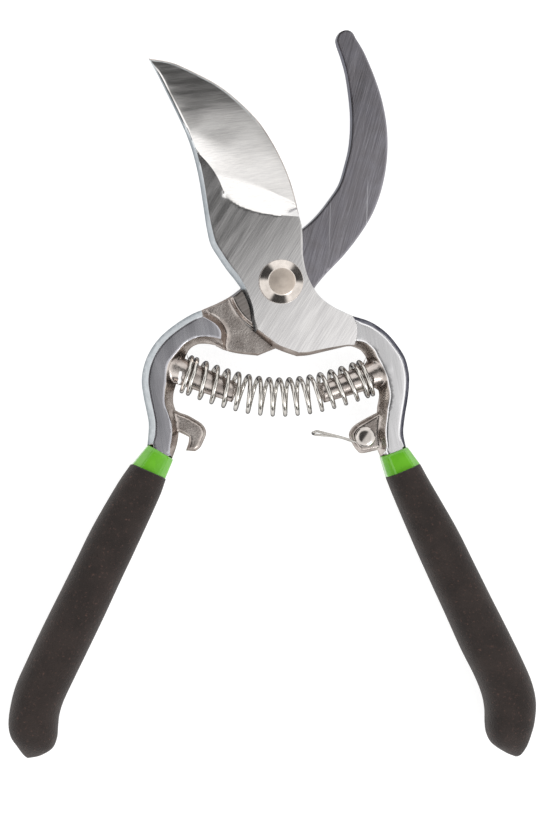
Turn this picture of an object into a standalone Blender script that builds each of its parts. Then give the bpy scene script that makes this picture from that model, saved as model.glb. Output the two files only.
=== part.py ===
# Bypass pruning shears, lying open on their back.
#
# Two drop-forged halves cross at one bolt. The blade half carries the ground blade and
# the catch, the hook half carries the counter hook and the notched lug that the catch
# holds. A coil spring on two forged pegs pushes the handles apart.
#
# Lengths below are in millimetres and become metres when a mesh is made. The origin is
# on the pivot's axis where the bolt's rear end meets the table, +Y runs towards the jaws
# and +Z towards the blade's side, which faces up.

import math

import bmesh
import bpy
from mathutils import Vector

MM = 0.001
GAP = 0.3                       # air between neighbouring pieces

# Heights, rear to front
HOOK_PLATE = (5.2, 8.85)        # the hook and the tang that the bolt goes through
BLADE_PLATE = (9.15, 13.3)      # the blade and its tang
SHANK = (4.7, 13.3)             # the thick curved shanks, the same on both halves
LUG = (7.4, 10.6)               # the two catch lugs, thin enough for the wire to straddle
MID_Z = 9.0                     # the middle of the shanks, handles, pegs and spring

# Pivot hardware, all turned about the Z axis
BOLT_RADIUS = 3.0
BOLT_HEAD_RADIUS = 6.0
BOLT_HEAD_FLAT = 3.9
BOLT_HEAD_TOP = 16.3
NUT_ACROSS_FLATS = 10.0
NUT_HEIGHTS = (0.5, 4.0)
NUT_RECESS = (4.4, 1.9)         # radius, and the height where it ends
INSERT_RADII = (3.3, 4.1)
INSERT_HEIGHTS = (0.6, 1.6)
WASHER_RADII = (3.3, 5.8)
WASHER_HEIGHTS = (4.3, 4.9)

# Spring and pegs
SPRING_RADIUS = 4.65            # to the middle of the wire
SPRING_WIRE = 1.0
SPRING_TURNS = 18.0
SPRING_DEAD_TURNS = 1.5         # close turns at each end
SPRING_DEAD_PITCH = 1.46
SPRING_ENDS = ((-25.9, -24.8), (24.4, -25.8))
SPRING_SAG = 6.0                # the bowed spring's middle below its ends
PEG_RADII = (3.6, 2.7)
LEFT_PEG = ((-29.5, -23.2), (-11.9, -30.2))      # their noses meet when the shears are shut
RIGHT_PEG = ((27.6, -24.3), (11.2, -30.3))

# Catch
RIVET = (23.1, -42.0)
RIVET_RADIUS = 1.4
RIVET_HEAD_RADIUS = 2.85
CATCH_WIRE = 1.0
CATCH_EYE = 2.05                # the eye's radius to the middle of the wire
CATCH_TIP = (9.7, -40.9)
CATCH_BEND = (16.0, -42.0)

# The blade, from its tip to the end of the grind. Each row is a cut across it: a point
# on the spine, one where the grind starts, one on the edge, then the heights of the
# spine and of the edge.
BLADE_CUTS = [
    ((-35.7, 60.2), (-35.4, 60.4), (-35.1, 60.6), 10.0, 9.6),
    ((-33.0, 55.7), (-32.2, 56.4), (-29.3, 59.4), 10.9, 9.6),
    ((-30.4, 50.5), (-29.5, 51.1), (-22.6, 56.5), 11.6, 9.6),
    ((-27.8, 45.3), (-26.8, 45.8), (-16.3, 53.1), 12.2, 9.6),
    ((-25.4, 40.1), (-24.5, 40.3), (-9.5, 47.5), 12.7, 9.6),
    ((-23.6, 34.9), (-22.6, 34.9), (-3.3, 40.2), 13.1, 9.6),
    ((-22.1, 28.7), (-17.6, 29.0), (1.4, 31.3), 13.3, 9.6),
    ((-21.3, 24.8), (-15.8, 24.3), (4.2, 23.0), 13.3, 9.9),
    ((-20.9, 22.6), (-15.3, 22.4), (4.9, 20.0), 13.3, 11.0),
    ((-20.6, 19.8), (-12.2, 20.4), (5.4, 17.4), 13.3, 13.3),
    ((-20.0, 15.2), (-10.0, 15.2), (5.8, 15.2), 13.3, 13.3),
]

# Outlines, each a list of runs. A smooth curve follows a run, and runs meet at corners.
BLADE_TANG = [
    [(5.4, 17.4), (6.2, 12.0), (6.2, 7.3), (7.2, 2.8), (8.9, -1.0), (11.3, -4.2),
     (15.2, -6.9), (19.7, -9.0), (24.0, -10.6)],
    [(22.0, -17.0), (18.3, -17.4), (13.1, -18.6), (7.9, -19.8), (4.7, -20.1),
     (0.6, -18.7), (-2.2, -17.4), (-6.6, -13.6)],
    [(-6.6, -13.6), (-7.4, -7.3), (-9.2, -2.6), (-12.2, 0.6), (-16.8, 6.8),
     (-18.9, 10.4), (-20.0, 15.2), (-20.6, 19.0)],
]
HOOK_TANG = [
    [(-10.5, -1.7), (-8.6, 3.2), (-4.0, 8.0), (1.0, 11.3), (6.1, 14.6), (10.2, 18.3),
     (13.9, 23.0), (16.5, 27.7), (18.5, 34.0), (19.5, 41.2), (19.4, 49.0),
     (18.3, 56.8), (15.9, 64.6)],
    [(15.9, 64.6), (15.6, 66.6), (16.5, 68.4), (18.3, 69.0), (19.9, 68.3), (20.9, 66.8)],
    [(20.9, 66.8), (23.9, 61.6), (28.0, 50.7), (29.75, 39.8), (28.9, 28.9), (25.2, 18.0),
     (21.8, 12.6), (17.5, 7.15), (12.3, 1.7), (9.2, -2.4), (7.6, -7.0), (6.6, -13.2)],
    [(6.6, -13.2), (2.2, -16.8), (-1.5, -18.4), (-5.7, -19.9), (-11.2, -19.3),
     (-15.0, -18.4), (-18.5, -17.2), (-22.0, -16.9)],
    [(-24.2, -8.9), (-20.9, -7.5), (-16.4, -5.5), (-13.3, -3.8), (-10.5, -1.7)],
]
LEFT_SHANK = [
    [(-15.1, -18.2), (-14.6, -14.5), (-15.2, -12.0), (-17.5, -9.6), (-21.2, -7.7)],
    [(-21.2, -7.7), (-24.2, -8.9), (-28.5, -11.6), (-32.4, -14.9), (-35.1, -18.5),
     (-36.9, -22.8), (-37.5, -26.7), (-37.0, -31.0), (-36.0, -35.3), (-35.6, -40.0),
     (-36.0, -43.9)],
    [(-28.9, -48.1), (-27.8, -44.5), (-27.5, -40.0), (-28.3, -35.5), (-28.9, -31.6),
     (-28.0, -27.5), (-27.4, -23.0), (-26.2, -19.8), (-24.2, -17.9), (-21.2, -16.8),
     (-17.6, -17.3), (-15.1, -18.2)],
]
RIGHT_SHANK = [
    [(21.2, -9.5), (17.5, -10.8), (15.0, -12.6), (14.5, -15.0), (15.1, -18.1)],
    [(15.1, -18.1), (20.0, -17.4), (22.6, -18.8), (24.4, -21.4), (26.0, -25.6),
     (27.2, -30.4), (26.7, -35.0), (26.5, -40.0), (26.9, -44.3), (27.8, -47.5)],
    [(34.7, -44.6), (33.9, -41.0), (34.3, -36.7), (35.1, -31.8), (35.5, -27.5),
     (34.9, -22.8), (32.4, -17.3), (29.0, -13.5), (25.0, -10.8), (21.2, -9.5)],
]
LEFT_LUG = [
    [(-30.5, -34.5), (-27.4, -35.4), (-25.2, -36.1), (-22.6, -37.5), (-20.6, -39.3),
     (-20.0, -41.0), (-20.8, -43.2), (-22.0, -45.2), (-23.0, -45.8)],
    [(-23.0, -45.8), (-25.5, -45.7)],
    [(-25.5, -45.7), (-24.7, -43.4), (-25.2, -41.8), (-27.0, -40.8), (-30.5, -42.0)],
]
RIGHT_LUG = [
    [(29.5, -35.0), (26.6, -35.5), (22.9, -37.4), (20.0, -39.2), (18.9, -41.2),
     (19.6, -43.6), (21.2, -45.7), (23.4, -46.6), (26.9, -46.0), (29.5, -45.5)],
]

# Stations down each handle: a point on the grip's outer side and one on its inner side.
# The last is the pointed end.
LEFT_GRIP = [
    ((-40.6, -49.6), (-31.1, -53.7)),
    ((-44.2, -54.9), (-33.0, -58.6)),
    ((-50.7, -66.1), (-39.3, -71.7)),
    ((-55.4, -75.6), (-43.9, -81.2)),
    ((-60.1, -85.0), (-48.5, -90.7)),
    ((-64.2, -93.2), (-52.6, -99.0)),
    ((-68.4, -102.1), (-56.6, -107.5)),
    ((-71.3, -108.6), (-58.9, -112.9)),
    ((-72.8, -113.9), (-60.0, -116.6)),
    ((-73.5, -119.2), (-60.2, -120.0)),
    ((-72.8, -122.8), (-60.3, -123.2)),
    ((-71.6, -125.7), (-61.6, -125.9)),
    ((-69.9, -128.4), (-65.0, -128.3)),
    ((-68.6, -129.4), (-67.9, -129.4)),
]
RIGHT_GRIP = [
    ((38.5, -49.6), (29.3, -53.4)),
    ((41.1, -54.3), (31.6, -58.6)),
    ((48.2, -66.7), (37.7, -71.6)),
    ((52.6, -76.0), (41.8, -81.0)),
    ((57.3, -85.2), (46.2, -90.6)),
    ((62.0, -94.3), (50.2, -99.9)),
    ((66.0, -102.4), (53.8, -107.6)),
    ((68.6, -108.9), (55.5, -112.6)),
    ((69.7, -114.5), (56.0, -116.6)),
    ((69.3, -119.8), (55.9, -120.6)),
    ((68.4, -123.1), (56.5, -123.4)),
    ((67.1, -126.0), (58.3, -126.0)),
    ((65.4, -128.2), (61.5, -128.1)),
    ((64.0, -129.2), (63.3, -129.2)),
]
GRIP_DEPTHS = [6.7, 7.3, 7.9, 8.2, 8.5, 8.8, 9.0, 9.0, 9.0, 8.7, 7.8, 6.0, 3.0, 0.5]
LEFT_COLLAR = ((-35.9, -44.6), (-29.4, -48.4))      # the sleeve's rim, outer and inner side
RIGHT_COLLAR = ((34.9, -45.2), (27.9, -47.8))
SLEEVE_FLARE = 4.85             # half the sleeve's width where it meets the grip
SLEEVE_BODY = 4.1               # half its width inside the grip
SLEEVE_DEPTHS = (4.75, 5.7, 5.1, 4.4)   # half its depth: rim, flare, body, end
SLEEVE_WALL = 0.75
SLEEVE_STATIONS = 8             # how many of the grip's stations the sleeve reaches
SLEEVE_FIT = 0.15               # air between the tang and the sleeve
HANDLE_SIDES = 20
SLEEVE_POWER = 4.0              # how square the sleeve's and the tang's sections are
GRIP_POWER = 2.6


# ---- materials ----

def finish(name, colour, roughness, metallic=0.0):
    material = bpy.data.materials.new(name)
    material.use_nodes = True
    shader = material.node_tree.nodes["Principled BSDF"]
    shader.inputs["Base Color"].default_value = (*colour, 1.0)
    shader.inputs["Roughness"].default_value = roughness
    shader.inputs["Metallic"].default_value = metallic
    material.diffuse_color = (*colour, 1.0)
    return material


# ---- outlines ----

def curve_through(points, steps):
    """A smooth open curve through 2-D points, with steps spans between neighbours."""
    if len(points) < 3:
        return [Vector(p) for p in points]
    pts = [Vector(p) for p in points]
    pts = [2 * pts[0] - pts[1]] + pts + [2 * pts[-1] - pts[-2]]
    line = []
    for a, b, c, d in zip(pts, pts[1:], pts[2:], pts[3:]):
        for i in range(steps):
            t = i / steps
            line.append(0.5 * (2 * b + (c - a) * t + (2 * a - 5 * b + 4 * c - d) * t ** 2
                               + (3 * b - a - 3 * c + d) * t ** 3))
    line.append(pts[-2])
    return line


def outline(runs, steps=2):
    """One closed loop of 2-D points from a list of runs."""
    loop = []
    for run in runs:
        for point in curve_through(run, steps):
            if not loop or (point - loop[-1]).length > 0.05:
                loop.append(point)
    if (loop[0] - loop[-1]).length < 0.05:
        loop.pop()
    return loop


# ---- solids ----

def solid(name, bm, material=None):
    """Turns a bmesh in millimetres into an object in metres."""
    bmesh.ops.scale(bm, vec=(MM, MM, MM), verts=bm.verts)
    bmesh.ops.recalc_face_normals(bm, faces=bm.faces)
    bmesh.ops.triangulate(bm, faces=[f for f in bm.faces if len(f.verts) > 4])
    mesh = bpy.data.meshes.new(name)
    bm.to_mesh(mesh)
    bm.free()
    if material:
        mesh.materials.append(material)
    obj = bpy.data.objects.new(name, mesh)
    bpy.context.scene.collection.objects.link(obj)
    return obj


def prism(name, runs, heights, material=None):
    """An outline extruded between two heights."""
    bm = bmesh.new()
    low, high = heights
    base = bm.faces.new([bm.verts.new((p.x, p.y, low)) for p in outline(runs)])
    grown = bmesh.ops.extrude_face_region(bm, geom=[base])
    top = [g for g in grown["geom"] if isinstance(g, bmesh.types.BMVert)]
    bmesh.ops.translate(bm, vec=(0, 0, high - low), verts=top)
    return solid(name, bm, material)


def stitch(bm, rings, closed_ends=True):
    """Joins rings of points, each the same length, into a skin."""
    loops = [[bm.verts.new(p) for p in ring] for ring in rings]
    for one, two in zip(loops, loops[1:]):
        count = len(one)
        for i in range(count):
            j = (i + 1) % count
            bm.faces.new((one[i], one[j], two[j], two[i]))
    if closed_ends:
        bm.faces.new(loops[0])
        bm.faces.new(loops[-1])
    return loops


def turned(name, profile, centre=(0, 0), sides=40, material=None):
    """A round piece from (radius, height) points that start and end on the axis."""
    bm = bmesh.new()
    rings = []
    for radius, height in profile:
        ring = []
        for i in range(sides):
            angle = 2 * math.pi * i / sides
            x = centre[0] + radius * math.cos(angle)
            y = centre[1] + radius * math.sin(angle)
            ring.append((x, y, height))
        rings.append(ring)
    stitch(bm, rings)
    return shaded(solid(name, bm, material))


def washer(name, radii, heights, centre=(0, 0), sides=40, material=None):
    """A flat ring."""
    inner, outer = radii
    low, high = heights
    corners = [(inner, low), (outer, low), (outer, high), (inner, high)]
    bm = bmesh.new()
    loops = []
    for radius, height in corners:
        loop = []
        for i in range(sides):
            angle = 2 * math.pi * i / sides
            x = centre[0] + radius * math.cos(angle)
            y = centre[1] + radius * math.sin(angle)
            loop.append(bm.verts.new((x, y, height)))
        loops.append(loop)
    for one, two in zip(loops, loops[1:] + loops[:1]):
        for i in range(sides):
            j = (i + 1) % sides
            bm.faces.new((one[i], one[j], two[j], two[i]))
    return shaded(solid(name, bm, material))


def shaded(obj, angle=35):
    obj.data.shade_smooth()
    obj.data.set_sharp_from_angle(angle=math.radians(angle))
    return obj


def combine(base, tool, operation):
    """Adds a tool to a solid, or cuts it away, and keeps the tool as a hidden guide."""
    tool.hide_render = True
    tool.display_type = "WIRE"
    change = base.modifiers.new(tool.name, "BOOLEAN")
    change.operation = operation
    change.solver = "EXACT"
    change.object = tool


# ---- sections along the handles ----

def section(centre, across, half_width, half_depth, power):
    """A rounded oblong across a handle; a higher power gives squarer corners."""
    ring = []
    for i in range(HANDLE_SIDES):
        angle = 2 * math.pi * (i + 0.5) / HANDLE_SIDES
        c = math.cos(angle)
        s = math.sin(angle)
        u = math.copysign(abs(c) ** (2 / power), c) * half_width
        v = math.copysign(abs(s) ** (2 / power), s) * half_depth
        point = centre + across * u
        ring.append((point.x, point.y, MID_Z + v))
    return ring


def middle(pair):
    return (Vector(pair[0]) + Vector(pair[1])) / 2


def across(pair):
    return (Vector(pair[0]) - Vector(pair[1])).normalized()


def sleeve_rows(collar, grip):
    """Centre, direction across, half width and half depth down the sleeve."""
    rim_depth, flare_depth, body_depth, end_depth = SLEEVE_DEPTHS
    top = middle(collar)
    seam = middle(grip[0])
    along = (seam - top).normalized()
    half_rim = (Vector(collar[0]) - Vector(collar[1])).length / 2
    rows = [(top, across(collar), half_rim, rim_depth)]
    rows.append((seam - along * (GAP + 0.3), across(grip[0]), SLEEVE_FLARE, flare_depth))
    rows.append((seam - along * GAP, across(grip[0]), SLEEVE_BODY, body_depth))
    for i in range(1, SLEEVE_STATIONS):
        t = i / (SLEEVE_STATIONS - 1)
        half = SLEEVE_BODY + (3.4 - SLEEVE_BODY) * t
        depth = body_depth + (end_depth - body_depth) * t
        rows.append((middle(grip[i]), across(grip[i]), half, depth))
    return rows


def thinner(rows, wall):
    return [(c, a, w - wall, d - wall) for c, a, w, d in rows]


def shortened(rows, distance):
    """The same rows with the last one drawn back along the handle."""
    last, before = rows[-1], rows[-2]
    back = (before[0] - last[0]).normalized() * distance
    return rows[:-1] + [(last[0] + back, *last[1:])]


def rings_of(rows, power):
    return [section(c, a, w, d, power) for c, a, w, d in rows]


def sock(name, outer, inner, power, material):
    """A hollow piece with a mouth at its first row and a closed far end."""
    bm = bmesh.new()
    skin = stitch(bm, rings_of(outer, power), closed_ends=False)
    hollow = stitch(bm, rings_of(inner, SLEEVE_POWER), closed_ends=False)
    bm.faces.new(skin[-1])
    bm.faces.new(hollow[-1])
    for i in range(HANDLE_SIDES):
        j = (i + 1) % HANDLE_SIDES
        bm.faces.new((skin[0][i], skin[0][j], hollow[0][j], hollow[0][i]))
    return shaded(solid(name, bm, material), 50)


def tang(name, collar, grip):
    """The forging's own core, from inside the shank to inside the sleeve."""
    rows = thinner(sleeve_rows(collar, grip), SLEEVE_WALL + SLEEVE_FIT)
    rows[1] = (*rows[1][:2], rows[2][2], rows[2][3])
    along = (rows[1][0] - rows[0][0]).normalized()
    first = (rows[0][0] - along * 3.0, *rows[0][1:])
    bm = bmesh.new()
    stitch(bm, rings_of([first] + shortened(rows, 2.5), SLEEVE_POWER))
    return solid(name, bm)


# ---- the two forgings ----

def peg(name, ends):
    """A tapered forged peg with a rounded nose."""
    start, stop = (Vector((*p, MID_Z)) for p in ends)
    along = (stop - start).normalized()
    side = Vector((-along.y, along.x, 0))
    up = Vector((0, 0, 1))
    reach = (stop - start).length
    root, nose = PEG_RADII
    profile = [(0, root), (reach - 1.0, nose), (reach - 0.3, nose - 0.4),
               (reach, nose - 1.2)]
    rings = []
    for distance, radius in profile:
        ring = []
        for i in range(20):
            angle = 2 * math.pi * i / 20
            offset = side * math.cos(angle) + up * math.sin(angle)
            ring.append(start + along * distance + offset * radius)
        rings.append(ring)
    bm = bmesh.new()
    stitch(bm, rings)
    return solid(name, bm)


def blade(name):
    """The ground blade, lofted from cut to cut down to the tang."""
    low = BLADE_PLATE[0]
    rings = []
    for spine, grind, edge, spine_z, edge_z in BLADE_CUTS:
        rings.append([(*spine, low), (*grind, low), (*edge, low),
                      (*edge, edge_z), (*grind, spine_z), (*spine, spine_z)])
    bm = bmesh.new()
    stitch(bm, rings)
    bmesh.ops.triangulate(bm, faces=bm.faces)
    return solid(name, bm)


def cutter(name, radius, heights, centre=(0, 0)):
    low, high = heights
    return turned(name, [(radius, low), (radius, high)], centre, sides=32)


def blade_half(material):
    half = prism("blade_half", BLADE_TANG, BLADE_PLATE, material)
    combine(half, blade("blade_guide"), "UNION")
    combine(half, prism("right_shank_guide", RIGHT_SHANK, SHANK), "UNION")
    combine(half, prism("right_lug_guide", RIGHT_LUG, LUG), "UNION")
    combine(half, peg("right_peg_guide", RIGHT_PEG), "UNION")
    combine(half, tang("right_tang_guide", RIGHT_COLLAR, RIGHT_GRIP), "UNION")
    combine(half, cutter("blade_bore", BOLT_RADIUS + GAP, (8.0, 14.5)), "DIFFERENCE")
    combine(half, cutter("rivet_bore", RIVET_RADIUS + GAP, (7.0, 11.0), RIVET), "DIFFERENCE")
    return half


def hook_half(material):
    half = prism("hook_half", HOOK_TANG, HOOK_PLATE, material)
    combine(half, prism("left_shank_guide", LEFT_SHANK, SHANK), "UNION")
    combine(half, prism("left_lug_guide", LEFT_LUG, LUG), "UNION")
    combine(half, peg("left_peg_guide", LEFT_PEG), "UNION")
    combine(half, tang("left_tang_guide", LEFT_COLLAR, LEFT_GRIP), "UNION")
    combine(half, cutter("hook_bore", BOLT_RADIUS + GAP, (4.0, 9.5)), "DIFFERENCE")
    return half


# ---- pivot hardware ----

def pivot_bolt(material):
    head_low = BLADE_PLATE[1] + GAP
    profile = [
        (BOLT_RADIUS - 0.4, 0.0), (BOLT_RADIUS, 0.4), (BOLT_RADIUS, head_low),
        (BOLT_HEAD_RADIUS, head_low), (BOLT_HEAD_RADIUS, head_low + 0.9),
        (BOLT_HEAD_FLAT, BOLT_HEAD_TOP),
    ]
    return turned("pivot_bolt", profile, material=material)


def lock_nut(material):
    """A thin hexagon nut with a round recess for its nylon ring."""
    low, high = NUT_HEIGHTS
    corner = NUT_ACROSS_FLATS / 2 / math.cos(math.pi / 6)
    nut = turned("lock_nut", [(corner - 0.5, low), (corner, low + 0.4), (corner, high)],
                 sides=6, material=material)
    nut.data.shade_flat()
    recess, recess_top = NUT_RECESS
    bore = turned("nut_bore", [
        (recess, low - 1), (recess, recess_top), (BOLT_RADIUS + GAP, recess_top),
        (BOLT_RADIUS + GAP, high + 1)], sides=32)
    combine(nut, bore, "DIFFERENCE")
    return nut


# ---- wire pieces ----

def wire(name, points, diameter, material, resolution=1):
    """A round wire along 3-D points in millimetres, with closed ends."""
    curve = bpy.data.curves.new(name, "CURVE")
    curve.dimensions = "3D"
    curve.bevel_depth = diameter / 2 * MM
    curve.bevel_resolution = resolution
    curve.use_fill_caps = True
    line = curve.splines.new("POLY")
    line.points.add(len(points) - 1)
    for place, point in zip(line.points, points):
        place.co = (*(Vector(point) * MM), 1.0)
    line.use_smooth = True
    curve.materials.append(material)
    obj = bpy.data.objects.new(name, curve)
    bpy.context.scene.collection.objects.link(obj)
    return obj


def spring_axis(t):
    """A point on the bowed middle line of the spring, from its left end to its right."""
    left, right = (Vector(p) for p in SPRING_ENDS)
    point = left.lerp(right, t)
    point.y -= SPRING_SAG * math.sin(math.pi * t)
    return point


def spring_travel(turn):
    """How far along its middle line the spring has got at a turn, from 0 to 1."""
    length = 54.0
    dead = SPRING_DEAD_TURNS * SPRING_DEAD_PITCH / length
    if turn < SPRING_DEAD_TURNS:
        return turn * SPRING_DEAD_PITCH / length
    if turn > SPRING_TURNS - SPRING_DEAD_TURNS:
        return 1 - (SPRING_TURNS - turn) * SPRING_DEAD_PITCH / length
    live = (turn - SPRING_DEAD_TURNS) / (SPRING_TURNS - 2 * SPRING_DEAD_TURNS)
    return dead + (1 - 2 * dead) * live


def return_spring(material, per_turn=14):
    points = []
    count = int(SPRING_TURNS * per_turn)
    for i in range(count + 1):
        turn = i / per_turn
        t = spring_travel(turn)
        centre = spring_axis(t)
        ahead = (spring_axis(t + 0.001) - spring_axis(t - 0.001)).normalized()
        side = Vector((-ahead.y, ahead.x))
        angle = 2 * math.pi * turn
        flat = centre + side * (SPRING_RADIUS * math.cos(angle))
        points.append((flat.x, flat.y, MID_Z + SPRING_RADIUS * math.sin(angle)))
    return wire("return_spring", points, SPRING_WIRE, material, resolution=1)


def catch_wire(material):
    """A bail: an eye on each face of the lug, two legs and a round end."""
    top = LUG[1] + GAP + CATCH_WIRE / 2
    low = LUG[0] - GAP - CATCH_WIRE / 2
    middle_z = (top + low) / 2
    centre = Vector(RIVET)
    bend = Vector(CATCH_BEND)
    tip = Vector(CATCH_TIP)
    leave = math.radians(215)           # where the leg leaves the eye
    eye = []
    for i in range(13):
        angle = leave + math.radians(290) * (1 - i / 12)
        eye.append(centre + CATCH_EYE * Vector((math.cos(angle), math.sin(angle))))
    leg = curve_through([eye[-1], bend, tip], 5)[1:]
    flat = eye + leg
    upper = [(p.x, p.y, top) for p in flat]
    lower = [(p.x, p.y, low) for p in reversed(flat)]
    ahead = (tip - bend).normalized()
    half = (top - low) / 2
    end = []
    for i in range(1, 8):
        angle = math.pi * i / 8
        point = tip + ahead * (half * 0.35 * math.sin(angle))
        end.append((point.x, point.y, middle_z + half * math.cos(angle)))
    return wire("catch_wire", upper + end + lower, CATCH_WIRE, material, resolution=2)


def catch_rivet(material):
    under_head = LUG[1] + GAP + CATCH_WIRE + GAP
    dome = [(RIVET_HEAD_RADIUS * math.cos(a), under_head + 0.4 + 1.5 * math.sin(a))
            for a in (0.0, 0.35, 0.7, 1.05, 1.4)]
    profile = [
        (1.6, 3.5), (2.3, 3.9), (2.3, 4.7), (RIVET_RADIUS, 4.7),
        (RIVET_RADIUS, under_head), (RIVET_HEAD_RADIUS, under_head),
    ] + dome
    return turned("catch_rivet", profile, RIVET, 32, material)


# ---- the whole object ----

def build():
    for obj in list(bpy.data.objects):
        bpy.data.objects.remove(obj, do_unlink=True)

    blade_steel = finish("polished_blade_steel", (0.52, 0.53, 0.55), 0.28, 1.0)
    hook_steel = finish("polished_hook_steel", (0.42, 0.42, 0.44), 0.32, 1.0)
    bolt_steel = finish("bolt_steel", (0.62, 0.58, 0.52), 0.25, 1.0)
    plated = finish("zinc_plate", (0.60, 0.60, 0.62), 0.35, 1.0)
    nylon = finish("nylon", (0.75, 0.76, 0.80), 0.6)
    chrome = finish("spring_chrome", (0.72, 0.72, 0.74), 0.14, 1.0)
    green = finish("green_vinyl", (0.12, 0.47, 0.02), 0.3)
    foam = finish("brown_foam", (0.042, 0.032, 0.028), 0.9)

    blade_half(blade_steel)
    hook_half(hook_steel)
    pivot_bolt(bolt_steel)
    washer("spring_washer", WASHER_RADII, WASHER_HEIGHTS, material=plated)
    lock_nut(plated)
    washer("nut_insert", INSERT_RADII, INSERT_HEIGHTS, material=nylon)
    return_spring(chrome)
    catch_wire(chrome)
    catch_rivet(chrome)
    washer("rivet_washer", (RIVET_RADIUS + GAP, 2.9), (5.0, 5.8), RIVET, 32, chrome)

    for side, collar, grip in (("left", LEFT_COLLAR, LEFT_GRIP),
                               ("right", RIGHT_COLLAR, RIGHT_GRIP)):
        rows = sleeve_rows(collar, grip)
        hollow = thinner(rows, SLEEVE_WALL)
        hollow[1] = (*hollow[1][:2], hollow[2][2], hollow[2][3])
        sock(side + "_sleeve", rows, shortened(hollow, 1.2), SLEEVE_POWER, green)

        skin = []
        for pair, depth in zip(grip, GRIP_DEPTHS):
            half = (Vector(pair[0]) - Vector(pair[1])).length / 2
            skin.append((middle(pair), across(pair), half, depth))
        inside = thinner(rows[3:], -GAP)
        mouth = (middle(grip[0]), across(grip[0]), SLEEVE_BODY + GAP, SLEEVE_DEPTHS[2] + GAP)
        last = inside[-1]
        ahead = (last[0] - inside[-2][0]).normalized()
        inside[-1] = (last[0] + ahead * 0.6, *last[1:])
        sock(side + "_grip", skin, [mouth] + inside, GRIP_POWER, foam)


build()
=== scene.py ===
import math

import bmesh
import bpy
import numpy as np
from mathutils import Matrix, Vector, geometry, kdtree


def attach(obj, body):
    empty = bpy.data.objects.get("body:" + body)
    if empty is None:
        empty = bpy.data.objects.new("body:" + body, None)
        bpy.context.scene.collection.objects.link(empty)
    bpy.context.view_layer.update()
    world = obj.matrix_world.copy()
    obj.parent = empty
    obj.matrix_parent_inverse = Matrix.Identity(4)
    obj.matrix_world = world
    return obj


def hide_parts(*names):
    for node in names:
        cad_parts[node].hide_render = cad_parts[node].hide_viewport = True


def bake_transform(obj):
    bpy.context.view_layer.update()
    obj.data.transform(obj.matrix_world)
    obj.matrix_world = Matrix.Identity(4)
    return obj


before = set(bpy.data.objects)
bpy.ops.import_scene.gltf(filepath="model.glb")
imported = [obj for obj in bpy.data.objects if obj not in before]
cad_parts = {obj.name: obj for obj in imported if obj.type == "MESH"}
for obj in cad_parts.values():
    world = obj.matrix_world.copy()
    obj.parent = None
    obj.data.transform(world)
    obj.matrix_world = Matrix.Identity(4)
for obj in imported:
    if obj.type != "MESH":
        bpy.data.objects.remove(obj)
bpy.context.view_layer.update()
mm = 0.001
print("frame loaded")


# every length below is in mm

def curveThrough(points, spacing=0.45):
    # a smooth line through a few points, cut into even steps
    p = np.array(points, float)
    if len(p) > 2:
        ends = np.vstack([2 * p[0] - p[1], p, 2 * p[-1] - p[-2]])
        t = np.linspace(0, 1, 24, endpoint=False)[:, None]
        spans = []
        for a, b, c, d in zip(ends, ends[1:], ends[2:], ends[3:]):
            spans.append(0.5 * (2 * b + (c - a) * t + (2 * a - 5 * b + 4 * c - d) * t ** 2
                                + (3 * b - a - 3 * c + d) * t ** 3))
        p = np.vstack(spans + [p[-1:]])
    return evenSteps(p, spacing)


def evenSteps(p, spacing):
    run = np.concatenate([[0], np.cumsum(np.linalg.norm(np.diff(p, axis=0), axis=1))])
    at = np.linspace(0, run[-1], max(2, round(run[-1] / spacing) + 1))
    return np.column_stack([np.interp(at, run, p[:, k]) for k in range(p.shape[1])])


def ringOf(centre, radius, count):
    angles = np.linspace(0, 2 * math.pi, count, endpoint=False)
    return np.column_stack([centre[0] + radius * np.cos(angles), centre[1] + radius * np.sin(angles)])


def closeOutline(runs, spacing=0.45):
    # runs of (side slope's width, skin, points); gives the loop, the slopes and the skins
    loop, slopes, skins = [], [], []
    for slope, skin, points in runs:
        line = curveThrough(points, spacing)[:-1]
        loop.append(line)
        slopes.append(np.full(len(line), float(slope)))
        skins.append(np.full(len(line), skin))
    slopes = np.concatenate(slopes)
    reach = 7                                   # eases one slope into the next
    wrapped = np.concatenate([slopes[-reach:], slopes, slopes[:reach]])
    slopes = np.convolve(wrapped, np.ones(2 * reach + 1) / (2 * reach + 1), "valid")
    loop = np.vstack(loop)
    ahead = np.roll(loop, -1, 0) - loop
    turn = (loop[:, 0] * ahead[:, 1] - loop[:, 1] * ahead[:, 0]).sum()
    return {"loop": loop, "slope": slopes, "skin": np.concatenate(skins), "leftIn": turn > 0}


def treeOf(points):
    tree = kdtree.KDTree(len(points))
    for i, (x, y) in enumerate(points):
        tree.insert((x, y, 0), i)
    tree.balance()
    return tree


def nearestOn(points, line, closed):
    # distance from each point to a line, its nearest vertex, and whether it lies to the left
    tree = treeOf(line)
    near = np.array([tree.find((x, y, 0))[1] for x, y in points])
    last = len(line) - 1
    best = np.full(len(points), 1e9)
    left = np.zeros(len(points))
    for step in (-1, 0):
        i = near + step
        j = i + 1
        if closed:
            i, j = i % (last + 1), j % (last + 1)
        else:
            i, j = np.clip(i, 0, last - 1), np.clip(i, 0, last - 1) + 1
        a, along = line[i], line[j] - line[i]
        t = ((points - a) * along).sum(1) / np.maximum((along ** 2).sum(1), 1e-12)
        t = np.clip(t, 0, 1)
        off = points - a - t[:, None] * along
        far = np.hypot(off[:, 0], off[:, 1])
        side = along[:, 0] * (points - a)[:, 1] - along[:, 1] * (points - a)[:, 0]
        side /= np.maximum(np.hypot(along[:, 0], along[:, 1]), 1e-9)
        same = np.abs(far - best) < 1e-6        # at a corner both spans count
        left = np.where(same, left + side, np.where(far < best, side, left))
        best = np.minimum(best, far)
    return best, near, left > 0


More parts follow.
